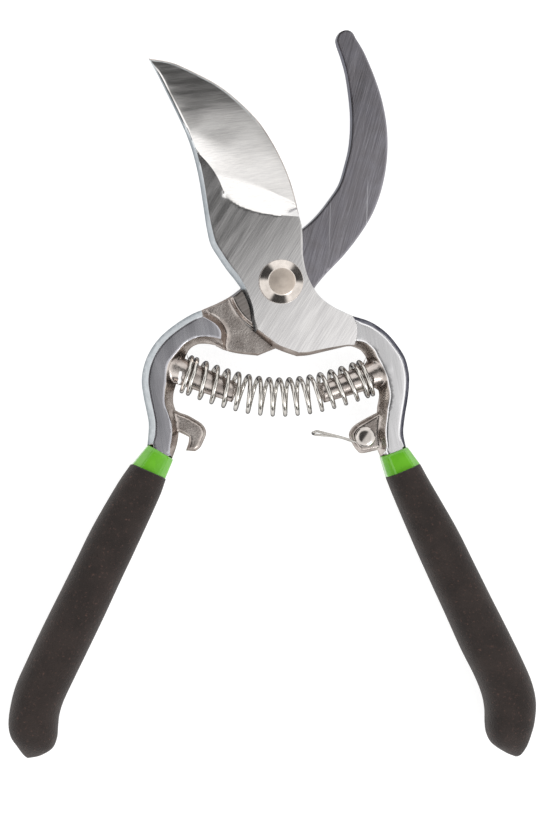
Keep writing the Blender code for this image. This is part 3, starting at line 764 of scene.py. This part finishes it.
def bladeRear(points):
    depth = measure(points, bladePlate)[0]
    tang = np.where(depth > -0.2, heights["bladeRear"] + 0.25 * (1 - smooth(0, 0.35, depth)), 99.0)
    depth, slope, skin = measure(points, rightShank)
    shank = sideSlope(depth, slope, 8.7, heights["shankRear"])
    shank = np.where(depth > -4, shank, 99.0)
    depth, slope, skin = measure(points, rightLug)
    lug = np.where(depth > -3, sideSlope(depth, slope, 8.7, heights["lugRear"]), 99.0)
    peg = heights["parting"] - pegHeight(points, rightPeg)
    both = softMin(tang, shank, 1.0)
    return softMin(softMin(both, lug, 0.7), peg, 0.5)


def sideOr(depth, slope, skin, face, lookup):
    # a part's face skin inside its edge line, and its side skin outside it
    return np.where(depth > slope * 0.995, face, lookup[skin])


def bladeSkinFront(points):
    # 0 brushed plate, 1 ground face, 2 polished shank, 3 forged skin, 4 polished sides, 5 polished sides
    # darkened as painted shade
    lookup = np.array([4, 3, 0, 3])
    shankSides = np.array([5, 3, 0, 3])
    past = groundTop(points)[1]
    depth, slope, skin = measure(points, bladePlate)
    atEdge = (skin == edged) & (points[:, 1] > 44) & (depth < grind["bevel"])
    tang = sideOr(depth, slope, skin, np.where(atEdge, 4, np.where(past > 0, 1, 0)), lookup)
    pick = np.full(len(points), 3)
    deep, wide, side = measure(points, rightShank)
    pick = np.where(deep > 0, sideOr(deep, wide, side, 2, shankSides), pick)
    return np.where(depth > 0, tang, pick)


def bladeSkinRear(points):
    lookup = np.array([5, 3, 0, 0])
    depth, slope, skin = measure(points, bladePlate)
    deep, wide, side = measure(points, rightShank)
    pick = np.where(depth > 0, 0, 3)
    return np.where(deep > 0, sideOr(deep, wide, side, 2, lookup), pick)


border = curveThrough(grindUpper[4:], 0.5)
borderWay = np.gradient(border, axis=0)
borderWay /= np.linalg.norm(borderWay, axis=1)[:, None]
lipLine = (border + grind["lip"] * np.column_stack([-borderWay[:, 1], borderWay[:, 0]]))[1:]
bevelLine = edgeCurve[edgeCurve[:, 1] > 33] - grind["bevel"] * np.array([0.62, 0.78])
bladeSpec = {
    "outline": bladeOutline, "holes": [((0.0, 0.0), 3.2), ((23.1, -42.0), 1.65)],
    "parts": [bladePlate, rightShank, rightLug],
    "lines": [grindLine, bevelLine, lipLine] + pegLines(rightPeg),
    "step": 0.6, "sharp": 40,
    "front": bladeFront, "rear": bladeRear, "frontSkin": bladeSkinFront, "rearSkin": bladeSkinRear,
    "rimSkin": lambda points: np.where(measure(points, bladeOutline)[2] == forged, 3,
                                       np.where(points[:, 0] > 20, 5, 4)),
}
bladeHalf = forging("bladeHalf", bladeSpec,
                    [plateSteel, groundSteel, shankSteel, forgedNickel, sideSteel, shadeSteel])
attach(bladeHalf, "blade_half")
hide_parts("blade_half")

hookInner = [(-10.5, -1.7), (-8.6, 3.2), (-4.0, 8.0), (1.0, 11.3), (6.1, 14.6), (10.2, 18.3), (13.9, 23.0),
             (16.5, 27.1), (18.1, 32.3), (19.1, 36.5), (19.6, 41.2), (19.6, 46.4), (19.1, 51.6),
             (18.3, 56.8), (17.2, 60.9), (15.9, 64.6)]
hookTip = [(15.9, 64.6), (15.6, 66.4), (16.5, 68.3), (18.3, 69.0), (20.0, 68.4), (21.0, 66.7)]
hookOuter = [(21.0, 66.7), (22.5, 64.3), (23.9, 61.6), (26.2, 56.1), (28.0, 50.7), (29.2, 45.2),
             (29.75, 39.8), (29.65, 34.4), (28.9, 28.9), (27.5, 23.5), (25.2, 18.0), (21.8, 12.6),
             (17.5, 7.15), (12.3, 1.7), (9.2, -2.4), (7.6, -7.0), (6.6, -13.2)]
hookBottom = [(6.6, -13.2), (2.2, -16.8), (-1.5, -18.2), (-5.7, -19.9)]
hookNose = [(-5.7, -19.9), (-11.2, -19.3), (-15.0, -18.4)]
leftInnerTop = [(-15.0, -18.4), (-17.8, -17.1), (-21.7, -16.8), (-24.3, -18.0), (-25.7, -20.3)]
leftInnerMid = [(-28.2, -27.7), (-28.9, -30.2), (-29.0, -32.6), (-28.4, -34.8)]
leftLugEdge = [(-28.4, -34.8), (-27.0, -35.5), (-25.2, -36.1), (-23.0, -37.3), (-21.2, -38.5),
               (-20.2, -40.0), (-20.1, -41.4), (-20.8, -43.2), (-21.7, -44.9), (-23.0, -45.9)]
leftBeak = [(-23.0, -45.9), (-25.5, -45.7)]
leftNotch = [(-25.5, -45.7), (-24.8, -43.6), (-24.6, -42.1)]
leftNotchTop = [(-24.6, -42.1), (-25.9, -41.4), (-27.5, -40.7)]
leftInnerLow = [(-27.5, -40.7), (-27.7, -42.4), (-28.2, -44.8), (-29.4, -48.2)]
leftStub = [(-29.4, -48.2), (-30.2, -47.9), (-31.6, -51.8), (-37.3, -49.0), (-35.2, -45.0), (-36.0, -44.5)]
leftOuter = [(-36.0, -44.5), (-35.7, -41.6), (-35.6, -38.3), (-36.1, -35.3), (-37.0, -31.0), (-37.5, -26.7),
             (-36.8, -22.4), (-35.1, -18.5), (-32.4, -14.9), (-28.5, -11.6), (-24.2, -8.9), (-21.2, -7.6)]
tangTop = [(-21.2, -7.6), (-16.4, -5.5), (-13.3, -3.8), (-10.5, -1.7)]
shoulder = [(-21.2, -7.6), (-18.1, -9.0), (-16.0, -10.6), (-14.6, -12.8), (-14.4, -15.2), (-15.0, -18.4)]

jawRuns = [(0.25, plate, hookInner), (0.15, plate, hookTip), (0.12, plate, hookOuter),
           (0.6, forged, hookBottom), (0.6, forged, hookNose)]
notchRuns = [(0.9, forged, leftLugEdge), (0.4, forged, leftBeak), (0.25, forged, leftNotch),
             (0.3, forged, leftNotchTop)]
hookOutline = closeOutline([
    *jawRuns, (1.9, forged, leftInnerTop),
    (0.1, forged, pegSide(leftPeg, 2.5, 1)), (0.1, forged, pegSide(leftPeg, 2.8, -1)[::-1]),
    (2.3, forged, leftInnerMid), *notchRuns, (1.9, forged, leftInnerLow), *stubRuns(leftStub),
    (1.5, polished, leftOuter), (0.6, forged, tangTop),
])
hookPlate = closeOutline([
    *jawRuns,
    (0.3, forged, [(-15.0, -18.4), (-18.5, -16.4), (-22.0, -15.0), (-23.5, -12.5), (-21.2, -7.6)]),
    (0.6, forged, tangTop),
])
leftShank = closeOutline([
    (1.9, forged, leftInnerTop), (3.6, forged, [(-25.7, -20.3), (-27.4, -24.0), (-28.2, -27.7)]),
    (2.6, forged, leftInnerMid), (2.2, forged, [(-28.4, -34.8), (-27.6, -38.0), (-27.5, -40.7)]),
    (1.9, forged, leftInnerLow), *stubRuns(leftStub), (1.5, polished, leftOuter), (1.9, forged, shoulder),
])
leftLug = closeOutline([
    *notchRuns,
    (0.5, forged, [(-27.5, -40.7), (-31.5, -41.0)]), (0.5, forged, [(-31.5, -41.0), (-31.5, -34.4)]),
    (0.5, forged, [(-31.5, -34.4), (-28.4, -34.8)]),
])
bossLines = [ringOf((0, 0), r, int(r * 16)) for r in (12.9, 13.3, 13.5, 13.8, 14.1, 14.4, 14.8)]


def hookFace(points):
    # the jaw and the round boss are machined; the tang beyond the boss lies lower
    x, y = points[:, 0], points[:, 1]
    away = np.hypot(x, y)
    below = smooth(4.0, 0.0, y)
    low = smooth(13.3, 13.8, away) * below
    groove = 0.3 * np.exp(-((away - 14.1) / 0.3) ** 2) * below
    return heights["hookFace"] - low * (heights["hookFace"] - heights["tangFace"]) - groove


def hookFront(points):
    inPlate, slope, skin = measure(points, hookPlate)
    low = heights["hookRear"] + 0.9
    climb = low + (heights["hookFace"] - low) * inPlate / np.maximum(slope, 0.05)
    tang = softMin(climb, hookFace(points), 0.08)
    tang = np.where(inPlate > -2, tang, 0.0)
    depth, slope, skin = measure(points, leftShank)
    crown = heights["top"] - 0.0022 * (4.0 - np.clip(depth, 0, 4.0)) ** 2
    base = heights["parting"] + 0.3 - smooth(0.1, 1.2, inPlate) * 1.2
    shank = softMin(base + (crown - base) * depth / slope, crown, 0.3)
    depth, slope, skin = measure(points, leftLug)
    lug = sideSlope(depth, slope, 9.3, heights["lugTop"])
    lug = np.where(depth > -3, lug, 0.0)
    peg = heights["parting"] + pegHeight(points, leftPeg)
    peg = np.where(inPlate > -1, 0.0, peg)
    return softMax(softMax(softMax(tang, shank, 1.3), lug, 0.7), peg, 0.5)


def hookRearFace(points):
    depth = measure(points, hookPlate)[0]
    tang = np.where(depth > -0.2, heights["hookRear"] + 0.4 * (1 - smooth(0, 0.5, depth)), 99.0)
    depth, slope, skin = measure(points, leftShank)
    shank = np.where(depth > -4, sideSlope(depth, slope, 8.7, heights["shankRear"]), 99.0)
    depth, slope, skin = measure(points, leftLug)
    lug = np.where(depth > -3, sideSlope(depth, slope, 8.7, heights["lugRear"]), 99.0)
    peg = heights["parting"] - pegHeight(points, leftPeg)
    return softMin(softMin(softMin(tang, shank, 0.8), lug, 0.7), peg, 0.5)


def hookSkinFront(points):
    # 0 brushed jaw, 1 polished shank darkened as painted shade, 2 forged skin, 3 machined boss, 4 polished
    # sides
    lookup = np.array([4, 2, 0, 0])
    tang = measure(points, hookPlate)[0]
    depth, wide, side = measure(points, leftShank)
    x, y = points[:, 0], points[:, 1]
    jaw = (np.hypot(x, y) < 13.6) | (y > 2)
    pick = np.where((tang > 0) & jaw, np.where((y < 3) & (x < 0), 3, 0), 2)
    return np.where(depth > 0, sideOr(depth, wide, side, 1, lookup), pick)


def hookSkinRear(points):
    tang = measure(points, hookPlate)[0]
    lookup = np.array([4, 2, 0, 0])
    depth, wide, side = measure(points, leftShank)
    pick = np.where(tang > 0, 0, 2)
    return np.where(depth > 0, sideOr(depth, wide, side, 1, lookup), pick)


hookSpec = {
    "outline": hookOutline, "holes": [((0.0, 0.0), 3.2)],
    "parts": [hookPlate, leftShank, leftLug], "lines": bossLines + pegLines(leftPeg),
    "step": 0.6, "sharp": 40,
    "front": hookFront, "rear": hookRearFace, "frontSkin": hookSkinFront, "rearSkin": hookSkinRear,
    "rimSkin": lambda points: np.where(measure(points, hookOutline)[2] == forged, 2,
                                       np.where(points[:, 1] > -5, 0, 4)),
}
hookHalf = forging("hookHalf", hookSpec, [jawSteel, paintedShadeShankSteel, forgedNickel, bossSteel, sideSteel])
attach(hookHalf, "hook_half")
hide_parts("hook_half")
print("forged halves done")


bolt = {"radius": 3.0, "head": 6.0, "flat": 3.75, "under": 13.55, "top": 16.3}
boltProfile = [(bolt["radius"] - 0.45, 0.0), (bolt["radius"], 0.45), (bolt["radius"], bolt["under"]),
               (bolt["head"] - 0.3, bolt["under"]), (bolt["head"], bolt["under"] + 0.3),
               (bolt["head"], bolt["under"] + 0.95), (bolt["flat"], bolt["top"] - 0.1),
               (bolt["flat"] - 0.35, bolt["top"])]
pivotBolt = turned("pivotBolt", roundedProfile(boltProfile, 0.22), (0, 0), [boltSteel, boltFace])
for polygon in pivotBolt.data.polygons:
    middle = polygon.center / mm
    if middle.z > 16.1 and math.hypot(middle.x, middle.y) < bolt["flat"] - 0.15:
        polygon.material_index = 1
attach(pivotBolt, "hook_half")
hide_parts("pivot_bolt")

nut = {"low": 0.5, "high": 4.0, "flats": 10.0, "recess": 4.4, "recessTop": 1.9, "bore": 3.3}


def hexRing(radius, height, count=96):
    # a ring that is a hexagon where its radius passes the flats, and round where it doesn't
    angles = np.linspace(0, 2 * math.pi, count, endpoint=False)
    toFlat = nut["flats"] / 2 / np.cos((angles + math.pi / 6) % (math.pi / 3) - math.pi / 6)
    r = np.minimum(radius, toFlat)
    return np.column_stack([r * np.cos(angles), r * np.sin(angles), np.full(count, height)])


corner = nut["flats"] / 2 / math.cos(math.pi / 6)
low, high = nut["low"], nut["high"]
nutProfile = [(nut["bore"], high), (4.7, high), (5.1, high - 0.12), (corner, high - 0.5), (corner, low + 0.5),
              (5.1, low + 0.12), (4.75, low), (nut["recess"] + 0.15, low), (nut["recess"], low + 0.12),
              (nut["recess"], nut["recessTop"]), (nut["bore"], nut["recessTop"]), (nut["bore"], high)]
lockNut = lofted("lockNut", [hexRing(r, h) for r, h in nutProfile], [zincPlate], False, 28)
weld(lockNut)
insert = turned("nutInsert", [(3.3, 0.75), (3.45, 0.6), (3.95, 0.6), (4.1, 0.75), (4.1, 1.6), (3.3, 1.6),
                              (3.3, 0.75)], (0, 0), [nylonWhite], closed=False)
weld(insert)
coned = turned("springWasher", [(3.3, 4.4), (3.4, 4.32), (5.7, 4.36), (5.8, 4.44), (5.8, 4.84), (5.7, 4.9),
                                (3.4, 4.86), (3.3, 4.8), (3.3, 4.4)], (0, 0), [zincPlate], closed=False)
weld(coned)
for piece, node, slot in ((lockNut, "lock_nut", "zinc_plate"), (insert, "nut_insert", "nylon"),
                          (coned, "spring_washer", "zinc_plate")):
    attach(piece, "hook_half")
    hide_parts(node)
print("pivot done")


spring = {
    "left": (-25.9, -24.8), "right": (24.4, -25.8), "sag": 5.9, "radius": 4.8, "wire": 0.6,
    "turns": 18.0, "deadTurns": 1.5, "deadPitch": 1.46, "length": 54.0, "stepsPerTurn": 40, "midZ": 9.0,
    "phase": 0.2,
}


def springPath():
    s = spring
    turn = np.linspace(0, s["turns"], int(s["turns"] * s["stepsPerTurn"]) + 1)
    dead = s["deadTurns"] * s["deadPitch"] / s["length"]
    along = np.interp(turn, [0, s["deadTurns"], s["turns"] - s["deadTurns"], s["turns"]],
                      [0, dead, 1 - dead, 1])
    left, right = np.array(s["left"]), np.array(s["right"])

    def axis(t):
        point = left + np.outer(t, right - left)
        point[:, 1] -= s["sag"] * np.sin(math.pi * t)
        return point

    centre = axis(along)
    ahead = axis(along + 0.001) - axis(along - 0.001)
    ahead /= np.linalg.norm(ahead, axis=1)[:, None]
    side = np.column_stack([-ahead[:, 1], ahead[:, 0]])
    angle = 2 * math.pi * (turn - s["phase"])
    flat = centre + side * (s["radius"] * np.cos(angle))[:, None]
    return np.column_stack([flat, s["midZ"] + s["radius"] * np.sin(angle)])


returnSpring = wireAlong("returnSpring", springPath(), spring["wire"], brightWire, 12)
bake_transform(returnSpring)
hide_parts("return_spring")
print("spring done")


catch = {
    "rivet": (23.1, -42.0), "wire": 0.34, "eye": 2.05, "tip": (9.9, -40.95), "spread": 0.48,
    "bends": [(19.9, -43.15), (16.2, -42.05)], "upper": 11.4, "lower": 6.6,
}


def catchPath():
    c = catch
    centre, tip = np.array(c["rivet"]), np.array(c["tip"])
    angles = np.radians(230) + np.radians(290) * (1 - np.linspace(0, 1, 40))
    eye = centre + c["eye"] * np.column_stack([np.cos(angles), np.sin(angles)])
    legs = []
    for side, height in ((1, c["upper"]), (-1, c["lower"])):
        # the two legs spread a little from the rivet to the tip
        run = curveThrough([tuple(eye[-1])] + c["bends"] + [(tip[0], tip[1] + side * c["spread"])], 0.4)[1:]
        flat = np.vstack([eye, run])
        legs.append(np.column_stack([flat, np.full(len(flat), height)]))
    half = (c["upper"] - c["lower"]) / 2
    turn = np.linspace(0, math.pi, 26)[1:-1]
    across = np.linspace(c["spread"], -c["spread"], 26)[1:-1]
    end = np.column_stack([tip[0] - half * 0.35 * np.sin(turn), tip[1] + across])
    bight = np.column_stack([end, (c["upper"] + c["lower"]) / 2 + half * np.cos(turn)])
    upper, lower = legs[0], legs[1][::-1]
    return np.vstack([upper, bight, lower])


catchWire = wireAlong("catchWire", catchPath(), catch["wire"], brightWire, 14)
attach(catchWire, "catch")
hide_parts("catch_wire")

dome = [(2.85 * math.cos(a), 12.6 + 1.05 * math.sin(a)) for a in np.linspace(0, 1.5, 12)]
rivetProfile = [(1.5, 3.5), (1.9, 3.56), (2.2, 3.8), (2.3, 4.2), (2.3, 4.7), (1.4, 4.7), (1.4, 12.2),
                (2.75, 12.2), (2.85, 12.3)] + dome
catchRivet = turned("catchRivet", rivetProfile, catch["rivet"], [rivetSteel], 64, 40)
rivetWasher = turned("rivetWasher", [(1.7, 5.0), (2.8, 5.0), (2.9, 5.1), (2.9, 5.7), (2.8, 5.8), (1.7, 5.8),
                                     (1.7, 5.0)], catch["rivet"], [zincPlate], 64, 40, False)
weld(rivetWasher)
for piece, node in ((catchRivet, "catch_rivet"), (rivetWasher, "rivet_washer")):
    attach(piece, "blade_half")
    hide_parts(node)
print("catch done")


handles = {
    "left": {
        "collar": ((-35.9, -44.6), (-29.4, -48.4)),
        "outer": [(-40.6, -49.6), (-44.2, -54.9), (-50.7, -66.1), (-55.4, -75.6), (-60.1, -85.0),
                  (-64.2, -93.2), (-68.4, -102.1), (-71.3, -108.6), (-72.8, -113.9), (-73.5, -119.2),
                  (-72.9, -122.8), (-71.2, -125.4), (-69.6, -127.6), (-68.5, -128.6)],
        "inner": [(-31.1, -53.7), (-32.9, -58.6), (-38.9, -71.7), (-43.4, -81.2), (-47.8, -90.7),
                  (-51.8, -99.0), (-55.95, -107.5), (-58.5, -112.9), (-59.7, -116.6), (-60.1, -120.0),
                  (-60.4, -123.2), (-61.7, -126.0), (-64.8, -127.9), (-67.7, -128.6)],
        "body": "hook_half",
    },
    "right": {
        "collar": ((34.9, -45.2), (27.9, -47.8)),
        "outer": [(38.5, -49.6), (41.1, -54.3), (48.3, -66.7), (53.0, -76.0), (57.6, -85.2), (62.25, -94.3),
                  (66.25, -102.4), (69.05, -108.9), (70.25, -114.5), (69.9, -119.8), (69.1, -123.1),
                  (68.0, -126.4), (66.6, -128.8), (65.6, -129.6)],
        "inner": [(29.3, -53.4), (31.4, -58.6), (37.0, -71.6), (41.25, -81.0), (45.7, -90.6), (49.9, -99.9),
                  (53.8, -107.6), (55.8, -112.6), (56.6, -116.6), (56.7, -120.6), (57.1, -123.4),
                  (58.6, -126.1), (62.2, -128.5), (64.8, -129.6)],
        "body": "blade_half",
    },
}
gripDepths = [6.7, 7.3, 7.9, 8.2, 8.5, 8.8, 9.0, 9.0, 9.0, 8.7, 7.8, 6.0, 3.0, 0.5]
handle = {"midZ": 9.0, "power": 2.6, "lip": 0.7, "flare": 4.85, "rimDepth": 4.75, "flareDepth": 5.7,
          "body": 4.1, "bodyDepth": 5.1, "holePower": 3.4}


def oblong(centre, across, halfWidth, halfDepth, power, count):
    angles = np.linspace(0, 2 * math.pi, count, endpoint=False)
    c, s = np.cos(angles), np.sin(angles)
    u = np.sign(c) * np.abs(c) ** (2 / power) * halfWidth
    v = np.sign(s) * np.abs(s) ** (2 / power) * halfDepth
    flat = centre + np.outer(u, across)
    return np.column_stack([flat, handle["midZ"] + v])


def acrossGrip(row):
    # a row's middle, its half width and the way across it
    outer, inner = row[:2], row[2:4]
    half = np.linalg.norm(outer - inner) / 2
    return (outer + inner) / 2, half, (outer - inner) / (2 * half)


def foamGrip(name, side):
    # a few given rows, widened into a smooth run of many
    rows = curveThrough(np.column_stack([side["outer"], side["inner"], gripDepths]), 0.9)
    rings = []
    for row in rows:
        middle, half, across = acrossGrip(row)
        rings.append(oblong(middle, across, half, row[4], handle["power"], 72))
    first = rows[0]
    middle, half, across = acrossGrip(first)
    back = middle - (rows[3][:2] + rows[3][2:4]) / 2
    back /= np.linalg.norm(back)
    lip = []
    inHalf, inDepth = handle["body"] + 0.3, handle["bodyDepth"] + 0.3
    for t in np.linspace(0, 1, 7)[:-1]:             # a rounded lip from the hollow outwards
        turn = math.pi / 2 * t
        w = inHalf + (half - inHalf) * math.sin(turn)
        d = inDepth + (first[4] - inDepth) * math.sin(turn)
        lip.append(oblong(middle + back * handle["lip"] * 0.6 * math.cos(turn), across, w, d,
                          handle["power"] if t > 0.3 else handle["holePower"], 72))
    deep = oblong(middle - back * 6, across, inHalf, inDepth, handle["holePower"], 72)
    grip = lofted(name, [deep] + lip + rings, [brownFoam], True, 0)
    weld(grip)
    return grip


def sleeve(name, side):
    # glossy vinyl over the faceted tang: flats with soft corners
    rim, seam = (np.array(side["collar"]), np.array([side["outer"][0], side["inner"][0]]))
    top, low = rim.mean(0), seam.mean(0)
    ahead = (low - top) / np.linalg.norm(low - top)
    across = (rim[0] - rim[1]) / np.linalg.norm(rim[0] - rim[1])
    acrossLow = (seam[0] - seam[1]) / np.linalg.norm(seam[0] - seam[1])
    half = np.linalg.norm(rim[0] - rim[1]) / 2

    def facets(centre, direction, w, d):
        # an octagon with rounded corners
        corners = np.array([(1, -0.5), (1, 0.5), (0.55, 1), (-0.55, 1),
                            (-1, 0.5), (-1, -0.5), (-0.55, -1), (0.55, -1)])
        corners = corners * [w, d]
        points = []
        for i in range(8):
            a, b, c = corners[i - 1], corners[i], corners[(i + 1) % 8]
            back, on = (a - b) / np.linalg.norm(a - b), (c - b) / np.linalg.norm(c - b)
            cut = 0.55
            for t in np.linspace(0, 1, 6):
                points.append((1 - t) ** 2 * (b + back * cut) + 2 * t * (1 - t) * b + t * t * (b + on * cut))
        points = np.array(points)
        flat = centre + np.outer(points[:, 0], direction)
        return np.column_stack([flat, handle["midZ"] + points[:, 1]])

    top = top - ahead * 0.45
    half += 0.12
    rings = [facets(top + ahead * on, across, half - inset, handle["rimDepth"] - inset)
             for on, inset in ((0.14, 0.75), (0.10, 0.60), (0, 0.42), (0.04, 0.16), (0.22, 0))]
    for t in (0.15, 0.4, 0.7, 0.93):
        way = across * (1 - t) + acrossLow * t
        way /= np.linalg.norm(way)
        rings.append(facets(top + (low - top) * t, way, half + (handle["flare"] - half) * t,
                            handle["rimDepth"] + (handle["flareDepth"] - handle["rimDepth"]) * t))
    rings.append(facets(low - ahead * 0.3, acrossLow, handle["body"], handle["bodyDepth"]))
    rings.append(facets(low + ahead * 5.0, acrossLow, handle["body"] - 0.1, handle["bodyDepth"] - 0.1))
    piece = lofted(name, rings, [greenVinyl], True, 50)
    weld(piece)
    return piece


for label, side in handles.items():
    grip = foamGrip(label + "Grip", side)
    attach(grip, side["body"])
    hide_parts(label + "_grip")
    collar = sleeve(label + "Sleeve", side)
    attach(collar, side["body"])
    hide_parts(label + "_sleeve")
print("handles done")


def makeFloor():
    mesh = bpy.data.meshes.new("floor")
    half, low = 3.0, -0.0003                    # in metres
    mesh.from_pydata([(-half, -half, low), (half, -half, low), (half, half, low), (-half, half, low)],
                     [], [(0, 1, 2, 3)])
    floor = bpy.data.objects.new("floor", mesh)
    bpy.context.scene.collection.objects.link(floor)
    material, nodes, links, shader, coords = newMaterial("palePaper")
    fibre = grainAt(nodes, links, coords, 900, 3)
    base = mixColour(nodes, links, span(nodes, links, fibre, 0.3, 0.7, 0, 1),
                     (0.36, 0.36, 0.36), (0.40, 0.40, 0.40))
    links.new(base, shader.inputs["Base Color"])
    shader.inputs["Roughness"].default_value = 0.95
    shader.inputs["Specular IOR Level"].default_value = 0.1
    shader.inputs["Emission Color"].default_value = (1, 1, 1, 1)
    shader.inputs["Emission Strength"].default_value = 0.82     # a light table
    mesh.materials.append(material)


def softSky():
    # a white tent with a dark opening overhead, towards the jaws, and dark gaps low down
    world = bpy.data.worlds.new("tent")
    bpy.context.scene.world = world
    world.use_nodes = True
    nodes, links = world.node_tree.nodes, world.node_tree.links
    ground = nodes["Background"]
    way = nodes.new("ShaderNodeTexCoord").outputs["Generated"]
    split = nodes.new("ShaderNodeSeparateXYZ")
    links.new(way, split.inputs[0])

    def maths(kind, a, b=None):
        node = nodes.new("ShaderNodeMath")
        node.operation = kind
        for socket, value in zip(node.inputs, (a, b)):
            if value is None:
                continue
            if isinstance(value, (int, float)):
                socket.default_value = value
            else:
                links.new(value, socket)
        return node.outputs[0]

    high = maths("MAXIMUM", split.outputs["Z"], 0.05)
    lean = maths("DIVIDE", split.outputs["X"], high)
    tilt = maths("DIVIDE", split.outputs["Y"], high)
    turned = math.radians(sky["edgeTurn"])
    across = maths("ADD", maths("MULTIPLY", lean, -math.sin(turned)),
                   maths("MULTIPLY", tilt, math.cos(turned)))
    away = maths("SQRT", maths("ADD", maths("MULTIPLY", lean, lean), maths("MULTIPLY", tilt, tilt)))

    def ease(value, low, high):
        node = nodes.new("ShaderNodeMapRange")
        node.interpolation_type = "SMOOTHSTEP"
        node.inputs["From Min"].default_value = low
        node.inputs["From Max"].default_value = high
        links.new(value, node.inputs["Value"])
        return node.outputs["Result"]

    dark = maths("MULTIPLY", ease(across, *sky["edge"]), maths("SUBTRACT", 1.0, ease(away, *sky["reach"])))
    tent = maths("ADD", sky["bright"], maths("MULTIPLY", ease(away, *sky["rise"]), sky["more"]))
    keep = maths("SUBTRACT", 1.0, maths("MULTIPLY", dark, 1 - sky["dark"]))
    overhead = maths("MULTIPLY", tent, keep)
    turn = maths("ARCTAN2", split.outputs["Y"], split.outputs["X"])
    bands = ease(maths("SINE", maths("ADD", maths("MULTIPLY", turn, 3.0), sky["bandTurn"])), *sky["band"])
    low = maths("SUBTRACT", 1.0, ease(split.outputs["Z"], *sky["bandTop"]))
    fade = maths("SUBTRACT", 1.0, maths("MULTIPLY", maths("MULTIPLY", bands, low), 1 - sky["bandDark"]))
    links.new(maths("MULTIPLY", overhead, fade), ground.inputs["Strength"])
    ground.inputs["Color"].default_value = (1.0, 0.99, 0.975, 1)


def areaLight(name, place, aim, size, power):
    light = bpy.data.lights.new(name, "AREA")
    light.shape = "RECTANGLE"
    light.size, light.size_y = size
    light.energy = power
    lamp = bpy.data.objects.new(name, light)
    lamp.location = place
    lamp.rotation_mode = "QUATERNION"
    lamp.rotation_quaternion = (Vector(aim) - Vector(place)).to_track_quat("-Z", "Y")
    bpy.context.scene.collection.objects.link(lamp)


sky = {
    "bright": 1.0, "more": 0.35, "rise": (0.45, 0.9),
    "dark": 0.08, "edgeTurn": 55.4, "edge": (-0.125, -0.01), "reach": (0.5, 0.7),
    "bandTurn": 0.2, "band": (-0.1, 0.6), "bandTop": (0.40, 0.55), "bandDark": 0.06,
}
view = {"target": (-0.0007, -0.0354, 0.009), "distance": 0.85, "lean": 5.5, "frameHeight": 0.2244}


def placeCamera():
    lens = bpy.data.cameras.new("camera")
    lens.lens = 36 * view["distance"] / view["frameHeight"]
    lens.clip_start, lens.clip_end = 0.01, 20
    camera = bpy.data.objects.new("camera", lens)
    angle = math.radians(view["lean"])
    back = Vector((-math.sin(angle), 0, math.cos(angle)))
    right = Vector((0, 1, 0)).cross(back)
    up = back.cross(right)
    turn = Matrix((right, up, back)).transposed().to_4x4()
    camera.matrix_world = Matrix.Translation(Vector(view["target"]) + back * view["distance"]) @ turn
    bpy.context.scene.collection.objects.link(camera)
    bpy.context.scene.camera = camera


makeFloor()
softSky()
areaLight("softKey", (0.9, -1.2, 1.1), (0, -0.03, 0), (0.8, 0.8), 8)
placeCamera()
bpy.context.scene.view_settings.view_transform = "Standard"
print("stage done")
